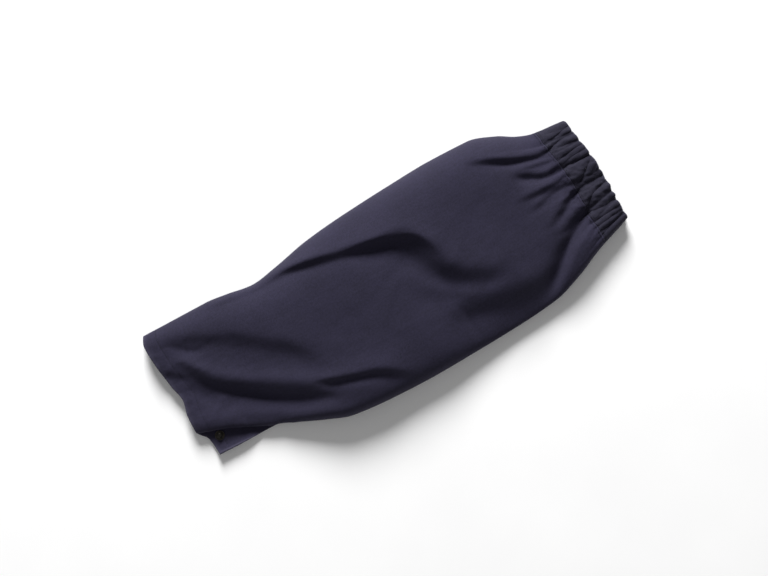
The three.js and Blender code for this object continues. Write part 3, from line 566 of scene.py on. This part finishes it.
def lower_layer(s, q):
    """The lower layer's points, from the folded side at q = 0 to the slit side at q = 1."""
    low = np.where(s < SLIT_HEAD, lower_slit_edge(s), lower_edge(s))
    high = upper_edge(s)
    y = high + (low - high) * crowded(q)
    edge = wrist_back(high)
    set_back = edge + (LOWER_EDGE_BACK * WRIST_WIDTH - edge) * smoothstep(q, 0, LOWER_EDGE_BLEND)
    x = s * BODY_LENGTH + set_back * wrist_share(s) + arm_back(y) * arm_share(s)
    across = 1 - 2 * crowded(q)
    slit_side = edge_height(s) * (1 - slit_blend(s))
    rise = np.where(across < 0, slit_side, edge_height(s))
    under = np.sqrt(1 - np.abs(across) ** LOWER_SIDE_POWER)
    around = np.hypot(x - CAP_AT[0], y - CAP_AT[1]) / CAP_DIAMETER
    lift = gather_lift(s) + CAP_LIFT * (1 - smoothstep(around, *CAP_REST))
    return np.stack([x, y, np.maximum(lift, rise + (lift - rise) * LOWER_SIDE_STRENGTH * under)], -1)


def smooth_skin(s, t):
    """Points of the cloth's outer face without gathers, s along the sleeve and t once round it."""
    s, t = np.broadcast_arrays(np.asarray(s, float), np.asarray(t, float))
    top = upper_layer(s, np.clip(2 * t, 0, 1))
    bottom = lower_layer(s, np.clip(2 * t - 1, 0, 1))
    return np.where((t <= 0.5)[..., None], top, bottom)


def normals(s, t):
    """Unit normals that point out of the smooth skin, from its points a small step to each side."""
    s, t = np.broadcast_arrays(np.asarray(s, float), np.asarray(t, float))
    step = 0.0015
    ring = s >= SLIT_HEAD

    def turn(v):
        return np.where(ring, v % 1.0, np.clip(v, 0, 1))

    along = smooth_skin(np.minimum(s + step, RIM), t) - smooth_skin(np.maximum(s - step, 0), t)
    around = smooth_skin(s, turn(t + step)) - smooth_skin(s, turn(t - step))
    n = np.cross(along, around)
    return n / np.maximum(np.linalg.norm(n, axis=-1, keepdims=True), 1e-9)


# Shares of each layer's way round the loop at the casing's stitch line, which the gathers divide
LOOP_SAMPLES = 720
half = LOOP_SAMPLES // 2
loop_t = np.linspace(0, 1, LOOP_SAMPLES + 1)
sums = np.cumsum(np.linalg.norm(np.diff(smooth_skin(1.0, loop_t), axis=0), axis=1))
sums = np.concatenate([[0], sums])
loop_shares = np.where(
    sums <= sums[half],
    0.5 * sums / sums[half],
    0.5 + 0.5 * (sums - sums[half]) / (sums[-1] - sums[half]),
)
both_ways = GATHERS + GATHERS[::-1]
PINCHES = np.concatenate([[0], np.cumsum(both_ways)]) / sum(both_ways)
MIDDLES = (PINCHES[1:] + PINCHES[:-1]) / 2
HEIGHTS = np.array(GATHER_HEIGHTS + GATHER_HEIGHTS[::-1])
SLANTS = np.array(GATHER_SLANTS + GATHER_SLANTS[::-1])


def casing_share(s):
    return np.clip((s - 1) / (RIM - 1), 0, 1)


def puff(s, t):
    """How far a gather stands out, from 0 in the pinches to about its own height between them."""
    share = np.clip(np.interp(t, loop_t, loop_shares), 0, LAST_SHARE)
    edge = np.sin(2 * np.pi * share) ** 2
    slant = np.interp(share, MIDDLES, SLANTS)
    share = np.clip(share + slant * casing_share(s) * edge, 0, LAST_SHARE)
    i = np.clip(np.searchsorted(PINCHES, share, side="right") - 1, 0, len(PINCHES) - 2)
    phase = np.clip((share - PINCHES[i]) / (PINCHES[i + 1] - PINCHES[i]), 0, 1)
    round_part = np.sin(np.pi * phase) ** PUFF_POWER
    # Each gather has a smaller ripple of its own
    own = np.sin(7.1 * i + 2.3)
    return round_part * HEIGHTS[i] + PUFF_RIPPLE * np.sin(3 * np.pi * phase) * own


def gather_strength(s):
    body = np.exp(np.minimum(s - 1, 0) * BODY_LENGTH / GATHER_REACH)
    return np.where(s <= 1, body, 1 + CASING_SWELL * np.sin(np.pi * casing_share(s)))


def outer_skin(s, t):
    """The cloth's outer face with its gathers."""
    s, t = np.broadcast_arrays(np.asarray(s, float), np.asarray(t, float))
    puffed = puff(s, t)
    lift = GATHER_DEPTH * gather_strength(s) * puffed
    p = smooth_skin(s, t) + normals(s, t) * lift[..., None]
    p[..., 0] += RIM_PUSH * GATHER_DEPTH * puffed * casing_share(s)
    p[..., 2] = np.maximum(p[..., 2], 0)
    return p


def dressed_skin(s, t):
    """The cloth's outer face with its small undulations, resting on the floor."""
    p = outer_skin(s, t)
    s, t = np.broadcast_arrays(np.asarray(s, float), np.asarray(t, float))
    on_top = np.where(t < 0.5, np.sin(np.pi * np.clip(2 * t, 0, 1)), 0)
    ripple = read_field(RIPPLE_FIELD, p[..., 0], p[..., 1]) * on_top
    puckers = read_field(PUCKER_FIELD, p[..., 0], p[..., 1])
    from_end = s * BODY_LENGTH
    hem_step = HEM_RELIEF * (1 - smoothstep(from_end, *HEM_RELIEF_ENDS))
    at_line = np.exp(-((from_end - HEM_LINE) / HEM_LINE_WIDTH) ** 2)
    sunk = HEM_SUNK * at_line * (1 + HEM_UNEVENNESS * puckers)
    ripple = ripple + (hem_step - sunk) * (on_top > 0.02)
    at_seam = np.exp(-((s - 1) * BODY_LENGTH / PUCKER_REACH) ** 2)
    p[..., 0] += SEAM_PUCKER * at_seam * puckers
    p = p + normals(s, t) * ripple[..., None]
    p[..., 2] = np.maximum(p[..., 2], 0)
    return p


def srgb(text):
    """A colour's linear values from its hex code."""
    parts = [int(text[i:i + 2], 16) / 255 for i in (1, 3, 5)]
    return tuple(c / 12.92 if c <= 0.04045 else ((c + 0.055) / 1.055) ** 2.4 for c in parts) + (1.0,)


class Nodes:
    """Adds a material's nodes one at a time, with their settings and links."""

    def __init__(self, name):
        self.material = bpy.data.materials.new(name)
        self.material.use_nodes = True
        self.tree = self.material.node_tree
        self.tree.nodes.clear()

    def add(self, kind, inputs=None, **settings):
        node = self.tree.nodes.new(kind)
        for key, value in settings.items():
            setattr(node, key, value)
        for key, value in (inputs or {}).items():
            if isinstance(value, bpy.types.NodeSocket):
                self.tree.links.new(value, node.inputs[key])
            else:
                node.inputs[key].default_value = value
        return node

    def math(self, operation, a, b=0.0, c=0.0):
        node = self.add("ShaderNodeMath", {0: a, 1: b, 2: c}, operation=operation)
        return node.outputs[0]

    def wave(self, value):
        """A sine between 0 and 1."""
        return self.math("MULTIPLY_ADD", self.math("SINE", value), 0.5, 0.5)

    def speckle(self, place, scale, detail):
        inputs = {"Vector": place, "Scale": scale, "Detail": detail}
        return self.add("ShaderNodeTexNoise", inputs).outputs["Fac"]

    def ramp(self, value, stops):
        node = self.add("ShaderNodeValToRGB", {"Fac": value})
        ramp = node.color_ramp
        while len(ramp.elements) < len(stops):
            ramp.elements.new(0.5)
        for element, (position, colour) in zip(ramp.elements, stops):
            element.position = position
            element.color = colour
        return node.outputs["Color"]

    def mixed(self, factor, colour, other):
        """A colour that turns into the other one as the factor rises."""
        node = self.add("ShaderNodeMix", {"Factor": factor}, data_type="RGBA")
        for socket in node.inputs:
            if socket.type == "RGBA" and socket.name == "A":
                self.tree.links.new(colour, socket)
            if socket.type == "RGBA" and socket.name == "B":
                socket.default_value = other
        return next(s for s in node.outputs if s.type == "RGBA")

    def bump(self, height, strength, distance, below=None):
        """Fine relief by a height, its distance in metres, on top of the relief below."""
        inputs = {"Strength": strength, "Distance": distance, "Height": height}
        if below is not None:
            inputs["Normal"] = below
        return self.add("ShaderNodeBump", inputs).outputs["Normal"]

    def finish(self, inputs):
        shader = self.add("ShaderNodeBsdfPrincipled", inputs)
        self.add("ShaderNodeOutputMaterial", {"Surface": shader.outputs[0]})
        return self.material


# The twill's diagonal ribs and its warp yarns, in metres from one to the next, and the ribs' slope
RIB_PITCH = 0.00075
YARN_PITCH = 0.00042
RIB_STEEPNESS = 1.9


def twill_material(name, base, raised, worn):
    """Navy cotton twill: steep diagonal ribs, slubby yarn, a dry matt face that pales where it rubs."""
    n = Nodes(name)
    uv = n.add("ShaderNodeUVMap", uv_map="cloth").outputs["UV"]
    place = n.add("ShaderNodeTexCoord").outputs["Object"]
    split = n.add("ShaderNodeSeparateXYZ", {"Vector": uv})
    along, around = split.outputs[0], split.outputs[1]
    # The ribs of a 3/1 twill run across the warp at a steep angle, bent a little by slubs in the yarn
    first = n.math("MULTIPLY", along, 1 / RIB_PITCH)
    second = n.math("MULTIPLY", around, 1 / (RIB_PITCH * RIB_STEEPNESS))
    slub = n.speckle(place, 900.0, 2.0)
    diagonal = n.math("MULTIPLY_ADD", slub, 0.5, n.math("ADD", first, second))
    rib = n.wave(n.math("MULTIPLY", diagonal, 2 * math.pi))
    yarn = n.wave(n.math("MULTIPLY", along, 2 * math.pi / YARN_PITCH))
    weave = n.math("ADD", n.math("MULTIPLY", rib, 0.75), n.math("MULTIPLY", yarn, 0.25))
    # Dye takes unevenly in patches of a few centimetres and in single yarns, and lint lies on the face
    patch = n.speckle(place, 28.0, 3.0)
    streak_at = n.add("ShaderNodeCombineXYZ", {
        0: n.math("MULTIPLY", along, 22.0),
        1: n.math("MULTIPLY", around, 600.0),
    })
    streak = n.speckle(streak_at.outputs[0], 1.0, 1.0)
    fuzz = n.speckle(place, 420.0, 3.0)
    uneven = n.math("ADD", n.math("MULTIPLY", patch, 0.3), n.math("MULTIPLY", streak, 0.25))
    lint = n.math("MULTIPLY_ADD", fuzz, 0.7, -0.35)
    tone = n.math("ADD", n.math("MULTIPLY", weave, 0.55), n.math("ADD", uneven, lint))
    cloth = n.ramp(tone, [(0.22, base), (0.8, raised)])
    wear = n.add("ShaderNodeAttribute", attribute_name="wear").outputs["Fac"]
    rubbed = n.math("MULTIPLY", wear, n.math("MULTIPLY_ADD", patch, 0.9, 0.25))
    # Soft unevenness, the weave, then loose fibre over the ribs, which breaks up the light
    soft = n.speckle(place, 75.0, 2.0)
    relief = n.bump(soft, 0.35, 0.0009)
    relief = n.bump(weave, 0.45, 0.00016, relief)
    relief = n.bump(fuzz, 0.4, 0.00035, relief)
    return n.finish({
        "Base Color": n.mixed(rubbed, cloth, worn),
        "Roughness": n.math("MULTIPLY_ADD", weave, -0.08, 0.93),
        "Normal": relief,
        "IOR": 1.5,
        "Specular IOR Level": 0.28,
        "Sheen Weight": 0.22,
        "Sheen Roughness": 0.5,
        "Sheen Tint": srgb("#8d88a4"),
    })


def brass_material(name):
    """Blackened brass: a dark oxide skin, rubbed towards warm metal on its rims, finely pitted."""
    n = Nodes(name)
    place = n.add("ShaderNodeTexCoord").outputs["Object"]
    wear = n.add("ShaderNodeAttribute", attribute_name="wear").outputs["Fac"]
    grain = n.speckle(place, 900.0, 4.0)
    blotch = n.speckle(place, 260.0, 3.0)
    oxide = n.ramp(grain, [(0.3, srgb("#09090b")), (0.75, srgb("#141415"))])
    rub = n.math("MULTIPLY", wear, n.math("SUBTRACT", n.math("MULTIPLY", blotch, 2.2), 0.55))
    return n.finish({
        "Base Color": n.mixed(rub, oxide, srgb("#7b7365")),
        "Metallic": 0.85,
        "Roughness": n.math("MULTIPLY_ADD", grain, 0.22, 0.26),
        "Normal": n.bump(grain, 0.25, 0.00005),
    })


def thread_material(name):
    """Spun polyester-cotton sewing thread: two plies twisted round each other."""
    n = Nodes(name)
    place = n.add("ShaderNodeTexCoord").outputs["Object"]
    inputs = {"Vector": place, "Scale": 700.0, "Distortion": 2.0}
    ply = n.add("ShaderNodeTexWave", inputs).outputs["Fac"]
    return n.finish({
        "Base Color": n.ramp(ply, [(0.2, srgb("#11111a")), (0.8, srgb("#21212d"))]),
        "Roughness": 0.8,
        "Normal": n.bump(ply, 0.5, 0.0001),
        "Specular IOR Level": 0.2,
    })


def floor_material(name):
    """A matt white studio surface with the faintest mottling."""
    n = Nodes(name)
    place = n.add("ShaderNodeTexCoord").outputs["Object"]
    mottle = n.speckle(place, 6.0, 3.0)
    return n.finish({
        "Base Color": n.ramp(mottle, [(0.3, srgb("#fafafa")), (0.7, srgb("#fefefe"))]),
        "Roughness": 0.85,
    })


TWILL = twill_material("navy cotton twill", srgb("#181625"), srgb("#272439"), srgb("#565366"))
# The casing gets a darker copy of the same twill. Its base, raised and worn colours are all darker as
# painted shade for the deep gathers over the elastic, not a different dye.
SHADED_CASING_TWILL = twill_material(
    "navy cotton twill with painted gather shade", srgb("#14131f"), srgb("#222030"), srgb("#424052")
)
BRASS = brass_material("blackened brass")
THREAD = thread_material("navy sewing thread")


def make_object(name, bm, material, smooth=True):
    """A named object of one material from a finished mesh."""
    mesh = bpy.data.meshes.new(name)
    bm.to_mesh(mesh)
    bm.free()
    mesh.materials.append(material)
    for polygon in mesh.polygons:
        polygon.use_smooth = smooth
    made = bpy.data.objects.new(name, mesh)
    bpy.context.collection.objects.link(made)
    return made


def cloth_grid(points, uv, wear, close_from=None):
    """A net of quads through points[row][column], joined into a ring from row close_from on."""
    rows, columns = points.shape[:2]
    bm = bmesh.new()
    bmesh.ops.create_grid(bm, x_segments=columns - 1, y_segments=rows - 1, size=0.5)
    uv_layer = bm.loops.layers.uv.new("cloth")
    wear_layer = bm.verts.layers.float.new("wear")
    order = sorted(bm.verts, key=lambda v: (round(v.co.y, 6), round(v.co.x, 6)))
    index = {}
    placed = (points + SHIFT) * MM
    for k, vert in enumerate(order):
        r, c = divmod(k, columns)
        index[vert] = (r, c)
        vert[wear_layer] = float(wear[r, c])
        vert.co = placed[r, c]
    for face in bm.faces:
        for loop in face.loops:
            loop[uv_layer].uv = uv[index[loop.vert]] * MM
    if close_from is not None:
        firsts = range(close_from * columns, rows * columns, columns)
        bmesh.ops.weld_verts(bm, targetmap={order[k + columns - 1]: order[k] for k in firsts})
    bm.normal_update()
    return bm


def add_solidify(piece, thickness):
    """Gives a net its cloth's thickness in millimetres, inward from its face."""
    solid = piece.modifiers.new("cloth thickness", "SOLIDIFY")
    solid.thickness = thickness * MM
    solid.offset = -1
    solid.use_even_offset = False
    solid.use_quality_normals = True
    bpy.context.view_layer.objects.active = piece
    piece.select_set(True)
    bpy.ops.object.modifier_apply(modifier=solid.name)
    piece.select_set(False)


def cloth_uv(s, points):
    """Where each point lies on the flat cut, in millimetres, so the weave keeps its real scale."""
    steps = np.linalg.norm(np.diff(points, axis=1), axis=-1)
    around = np.cumsum(np.concatenate([np.zeros((len(steps), 1)), steps], axis=1), axis=1)
    middle = points.shape[1] // 4
    return np.stack([s * BODY_LENGTH, around - around[:, middle:middle + 1]], -1)


def finish_piece(piece, node):
    """Says which body a piece rides, which solid it replaces, if any."""
    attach(piece, "root")
    if node:
        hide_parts(node)
    return piece


# The body's cloth, with closer rows at the hem, along the slit and in the gathers, and closer columns on
# the upper layer. Wear pales the wrist edge and the slit's edges.
HEM_ROWS, SLIT_ROWS, BODY_ROWS, GATHER_ROWS = 14, 36, 150, 34
GATHERS_FROM = 0.9
UPPER_COLUMNS, LOWER_COLUMNS = 145, 45
EDGE_WEAR_REACH = 1.8
SLIT_WEAR = 0.5
SLIT_WEAR_WIDTH = 0.004
s_rows = np.concatenate([
    np.linspace(0, HEM_WIDTH / BODY_LENGTH, HEM_ROWS)[:-1],
    np.linspace(HEM_WIDTH / BODY_LENGTH, SLIT_HEAD, SLIT_ROWS)[:-1],
    np.linspace(SLIT_HEAD, GATHERS_FROM, BODY_ROWS)[:-1],
    np.linspace(GATHERS_FROM, 1.0, GATHER_ROWS),
])
t_columns = np.concatenate([np.linspace(0, 0.5, UPPER_COLUMNS)[:-1], np.linspace(0.5, 1, LOWER_COLUMNS)])
S, T = np.meshgrid(s_rows, t_columns, indexing="ij")
body_points = dressed_skin(S, T)
body_wear = np.where(T > 0.5, 1.0, 0.6) * np.exp(-S * BODY_LENGTH / EDGE_WEAR_REACH)
at_slit = (S < SLIT_HEAD) & (np.minimum(T, 1 - T) < SLIT_WEAR_WIDTH)
body_wear = np.maximum(body_wear, np.where(at_slit, SLIT_WEAR, 0))
ring_row = int(np.argmax(s_rows >= SLIT_HEAD - 1e-9))
bm = cloth_grid(body_points, cloth_uv(S, body_points), body_wear, close_from=ring_row)
bmesh.ops.recalc_face_normals(bm, faces=bm.faces)
cloth = make_object("sleeve_cloth", bm, TWILL)
add_solidify(cloth, CLOTH)
finish_piece(cloth, "sleeve_body")

# The casing: out over the elastic, round the rim and back inside to the stitch line. Its wall starts a
# little thinner at the stitches, and its inside follows the gathers by half.
CASING_ROWS = 27
RIM_ROWS = 9
CASING_COLUMNS = 385
RIM_TURN = 1.6 / BODY_LENGTH
WALL_TAPER = 0.5
WALL_TAPER_REACH = 3
INNER_SHARE = 0.5
RIM_WEAR = 0.5
RIM_WEAR_REACH = 2.0
outer_rows = np.linspace(1 + CLEARANCE / BODY_LENGTH, RIM - RIM_TURN, CASING_ROWS)
rim_angles = np.linspace(0, np.pi, RIM_ROWS)[1:-1]
section_s = np.concatenate([outer_rows, RIM - RIM_TURN + RIM_TURN * np.sin(rim_angles), outer_rows[::-1]])
wall_share = np.concatenate([np.zeros(CASING_ROWS), (1 - np.cos(rim_angles)) / 2, np.ones(CASING_ROWS)])
SC, TC = np.meshgrid(section_s, np.linspace(0, 1, CASING_COLUMNS), indexing="ij")
wall = CASING_WALL - WALL_TAPER * np.exp(-casing_share(SC) * CASING_LENGTH / WALL_TAPER_REACH)
gathered = GATHER_DEPTH * gather_strength(SC) * puff(SC, TC) * INNER_SHARE
depth = (wall + gathered) * wall_share[:, None]
casing_points = dressed_skin(SC, TC) - normals(SC, TC) * depth[..., None]
casing_points[..., 2] = np.maximum(casing_points[..., 2], 0)
casing_wear = RIM_WEAR * np.exp(-((SC - RIM) * BODY_LENGTH / RIM_WEAR_REACH) ** 2)
bm = cloth_grid(casing_points, cloth_uv(SC, casing_points), casing_wear, close_from=0)
bmesh.ops.bridge_loops(bm, edges=[e for e in bm.edges if e.is_boundary])
bmesh.ops.recalc_face_normals(bm, faces=bm.faces)
# The casing's darker twill is painted shade of its gathers
casing = make_object("casing_cloth", bm, SHADED_CASING_TWILL)
finish_piece(casing, "arm_casing")


def turned_in(name, node, s_values, t_values):
    """A strip of cloth turned in under the body's, between the given shares along and round it."""
    s2, t2 = np.meshgrid(s_values, t_values, indexing="ij")
    p = dressed_skin(s2, t2) - normals(s2, t2) * TURNED_IN
    bm = cloth_grid(p, cloth_uv(s2, p), 0 * s2)
    bmesh.ops.recalc_face_normals(bm, faces=bm.faces)
    piece = make_object(name, bm, TWILL)
    add_solidify(piece, HEM_CLOTH)
    return finish_piece(piece, node)


# The slit's hems start past the wrist hem, end short of the slit's head and are as wide as these shares
# of the way round
SLIT_HEM_END = SLIT_HEAD * 0.8
UPPER_SLIT_HEM = (0.001, 0.03)
LOWER_SLIT_HEM = (0.958, 0.999)
hem_s = np.linspace(0.0003, HEM_WIDTH / BODY_LENGTH, 9)
slit_s = np.linspace((HEM_WIDTH + CLEARANCE) / BODY_LENGTH, SLIT_HEM_END, 24)
upper_t = np.linspace(*UPPER_SLIT_HEM, 7)
lower_t = np.linspace(*LOWER_SLIT_HEM, 7)
hem = turned_in("wrist_hem_cloth", "wrist_hem", hem_s, t_columns[1:-1])
upper_hem = turned_in("slit_hem_upper_cloth", "slit_hem_upper", slit_s, upper_t)
lower_hem = turned_in("slit_hem_lower_cloth", "slit_hem_lower", slit_s, lower_t)


# Rows of stitches: short rounded threads that lie in the cloth's face. Lengths are in millimetres.
THREAD_RADIUS = 0.24
THREAD_FLATNESS = 1.15
THREAD_SUNK = 0.06


def stitch_row(name, s, t_of, count, length):
    """Stitches round the sleeve at a share s of its length, evenly spaced in what t_of takes."""
    bm = bmesh.new()
    share = (np.arange(count) + 0.5) / count
    # A stitch points from the face a third of a step before it to the face as far after it
    step = 0.35 / count
    before = dressed_skin(s, t_of(share - step))
    after = dressed_skin(s, t_of(share + step))
    middle = dressed_skin(s, t_of(share))
    outward = normals(s, t_of(share))
    size = Matrix.Diagonal((length / 2 * MM, THREAD_RADIUS * THREAD_FLATNESS * MM, THREAD_RADIUS * MM, 1))
    lying = size @ Matrix.Rotation(math.pi / 2, 4, "Y")
    for k in range(count):
        x_axis = Vector(after[k] - before[k]).normalized()
        z_axis = Vector(outward[k])
        z_axis = (z_axis - x_axis * z_axis.dot(x_axis)).normalized()
        y_axis = z_axis.cross(x_axis)
        centre = Vector(middle[k] + SHIFT) + z_axis * (THREAD_RADIUS - THREAD_SUNK)
        centre.z = max(centre.z, THREAD_RADIUS)
        turn = Matrix((x_axis, y_axis, z_axis)).transposed().to_4x4()
        turn.translation = centre * MM
        bmesh.ops.create_uvsphere(bm, u_segments=8, v_segments=6, radius=1, matrix=turn @ lying)
    return finish_piece(make_object(name, bm, THREAD), None)


wrist_stitches = stitch_row(
    "wrist_stitches", HEM_LINE / BODY_LENGTH, lambda u: 0.004 + u * 0.992, 112, 2.4
)
casing_stitches = [
    stitch_row(f"casing_stitches_{place}", 1 + offset / BODY_LENGTH, lambda u: np.clip(u, 0, 1), 96, 2.3)
    for place, offset in (("near", -2.2), ("far", 2.6))
]


# Snap parts, turned from their half sections of (radius, height) in millimetres
SNAP_SIDES = 48


def turned(name, node, outline, at, worn):
    """A part of the snap at its place; worn gives its wear at a radius and height, most on the rims."""
    bm = bmesh.new()
    verts = [bm.verts.new((r * MM, 0, z * MM)) for r, z in outline]
    edges = [bm.edges.new((a, b)) for a, b in zip(verts, verts[1:])]
    bmesh.ops.spin(
        bm, geom=verts + edges, cent=(0, 0, 0), axis=(0, 0, 1),
        angle=2 * math.pi, steps=SNAP_SIDES, use_duplicate=False,
    )
    bmesh.ops.remove_doubles(bm, verts=bm.verts, dist=1e-6)
    bmesh.ops.recalc_face_normals(bm, faces=bm.faces)
    wear_layer = bm.verts.layers.float.new("wear")
    for vert in bm.verts:
        radius = math.hypot(vert.co.x, vert.co.y) / MM
        vert[wear_layer] = worn(radius, vert.co.z / MM)
    offset = Vector((at[0] + SHIFT[0], at[1] + SHIFT[1], 0)) * MM
    bmesh.ops.translate(bm, verts=bm.verts, vec=offset)
    return finish_piece(make_object(name, bm, BRASS), node)


cap_r = CAP_DIAMETER / 2
shank_r = SHANK_DIAMETER / 2
hole_r = shank_r + CLEARANCE
socket_r = SOCKET_DIAMETER / 2
mouth_r = KNOB_DIAMETER / 2 + CLEARANCE
stud_r = STUD_DIAMETER / 2
knob_r = KNOB_DIAMETER / 2
post_r = POST_DIAMETER / 2

# The lower layer's half: the cap under the cloth with its shank, and the socket on top of it
socket_bottom = CAP_LIFT + CLOTH + HEM_CLOTH + 2 * CLEARANCE
socket_top = socket_bottom + SOCKET_HEIGHT
socket_floor = socket_bottom + SOCKET_HEIGHT * 0.3
cap_top = socket_floor - CLEARANCE
turned(
    "cap_of_snap", "snap_cap",
    [
        (0, 0), (cap_r * 0.55, 0), (cap_r * 0.66, 0.06), (cap_r * 0.72, 0.2), (cap_r * 0.78, 0.12),
        (cap_r * 0.88, 0.25), (cap_r * 0.96, 0.62), (cap_r, 1.2), (cap_r * 0.985, 1.7),
        (cap_r * 0.94, CAP_THICKNESS), (shank_r + 0.2, CAP_THICKNESS), (shank_r, CAP_THICKNESS + 0.2),
        (shank_r, cap_top - 0.2), (shank_r - 0.2, cap_top), (0, cap_top),
    ],
    CAP_AT, lambda r, z: 0.9 if r > cap_r * 0.8 else 0.2,
)
turned(
    "socket_of_snap", "snap_socket",
    [
        (hole_r, socket_bottom), (socket_r - 0.2, socket_bottom), (socket_r, socket_bottom + 0.2),
        (socket_r, socket_bottom + SOCKET_HEIGHT * 0.6),
        (socket_r * 0.97, socket_bottom + SOCKET_HEIGHT * 0.85), (socket_r * 0.88, socket_top),
        (socket_r * 0.7, socket_bottom + SOCKET_HEIGHT * 0.97), (mouth_r + 0.25, socket_top),
        (mouth_r, socket_top - 0.2), (mouth_r, socket_floor),
        (hole_r, socket_floor), (hole_r, socket_bottom),
    ],
    CAP_AT, lambda r, z: 0.8 if z > socket_bottom + SOCKET_HEIGHT * 0.8 else 0.2,
)

# The upper layer's half: the stud on the flap, and the post under it with its shank
stud_bottom = FLAP_HEIGHT + CLEARANCE
knob_bottom = stud_bottom + STUD_FLANGE
knob_top = knob_bottom + KNOB_HEIGHT
shank_top = knob_bottom + KNOB_HEIGHT * 0.3
turned(
    "stud_of_snap", "snap_stud",
    [
        (hole_r, stud_bottom), (stud_r - 0.15, stud_bottom), (stud_r, stud_bottom + 0.15),
        (stud_r, stud_bottom + 0.65), (stud_r - 0.25, stud_bottom + 0.95), (stud_r - 0.7, knob_bottom),
        (knob_r + 0.9, knob_bottom - 0.25), (knob_r + 0.1, knob_bottom - 0.1),
        (knob_r * 0.88, knob_bottom + 0.35), (knob_r * 0.92, knob_bottom + 1), (knob_r, knob_bottom + 1.7),
        (knob_r * 0.96, knob_top - 0.75), (knob_r * 0.8, knob_top - 0.25), (knob_r * 0.55, knob_top),
        (knob_r * 0.35, knob_top - 0.05), (0, knob_top - 0.25),
        (0, shank_top + CLEARANCE), (hole_r, shank_top + CLEARANCE), (hole_r, stud_bottom),
    ],
    STUD_AT, lambda r, z: 0.7 if r > stud_r * 0.93 else 0.15,
)
turned(
    "post_of_snap", "snap_post",
    [
        (0, CLEARANCE), (post_r - 0.3, CLEARANCE), (post_r, CLEARANCE + 0.25), (post_r, POST_TOP - 0.1),
        (post_r - 0.1, POST_TOP), (shank_r, POST_TOP), (shank_r, shank_top), (0, shank_top),
    ],
    STUD_AT, lambda r, z: 0.6 if r > post_r * 0.9 else 0.2,
)

# Floor, light and camera
FLOOR_SIZE = 4.0
bm = bmesh.new()
bmesh.ops.create_grid(bm, x_segments=1, y_segments=1, size=FLOOR_SIZE)
floor = make_object("floor", bm, floor_material("white studio surface"), smooth=False)


def area_light(name, direction, distance, size, power):
    """A round light that shines on the origin; distance and size are in metres, power in watts."""
    data = bpy.data.lights.new(name, "AREA")
    data.shape = "DISK"
    data.size = size
    data.energy = power
    made = bpy.data.objects.new(name, data)
    made.location = direction.normalized() * distance
    made.rotation_euler = (-made.location).to_track_quat("-Z", "Y").to_euler()
    bpy.context.collection.objects.link(made)


# Low soft light from the top of the picture, and very little from the other side and all round
area_light("key", Vector((0.31, 0.95, 0.5)), 4.6, 1.9, 410)
area_light("fill", Vector((-0.5, -0.4, 1)), 3.5, 2.6, 12)
AMBIENT = 0.2
world = bpy.data.worlds.new("studio")
world.use_nodes = True
background = world.node_tree.nodes["Background"]
background.inputs["Color"].default_value = (1, 1, 1, 1)
background.inputs["Strength"].default_value = AMBIENT
bpy.context.scene.world = world
bpy.context.scene.view_settings.view_transform = "Standard"

# The camera looks straight down, turned so that the sleeve lies in the picture as in the photograph
PICTURE_RIGHT = Vector((0.879, -0.477, 0)).normalized()
PICTURE_UP = Vector((0.477, 0.879, 0)).normalized()
PICTURE_WIDTH = 768
MM_PER_PIXEL = 1.13
SENSOR_WIDTH = 36
CAMERA_AT = Vector((-0.0055, 0.0066, 1.9))
camera_data = bpy.data.cameras.new("camera")
camera_data.sensor_width = SENSOR_WIDTH
camera_data.lens = SENSOR_WIDTH * CAMERA_AT.z / (PICTURE_WIDTH * MM_PER_PIXEL * MM)
camera = bpy.data.objects.new("camera", camera_data)
camera.matrix_world = Matrix((PICTURE_RIGHT, PICTURE_UP, Vector((0, 0, 1)))).transposed().to_4x4()
camera.location = CAMERA_AT
bpy.context.collection.objects.link(camera)
bpy.context.scene.camera = camera
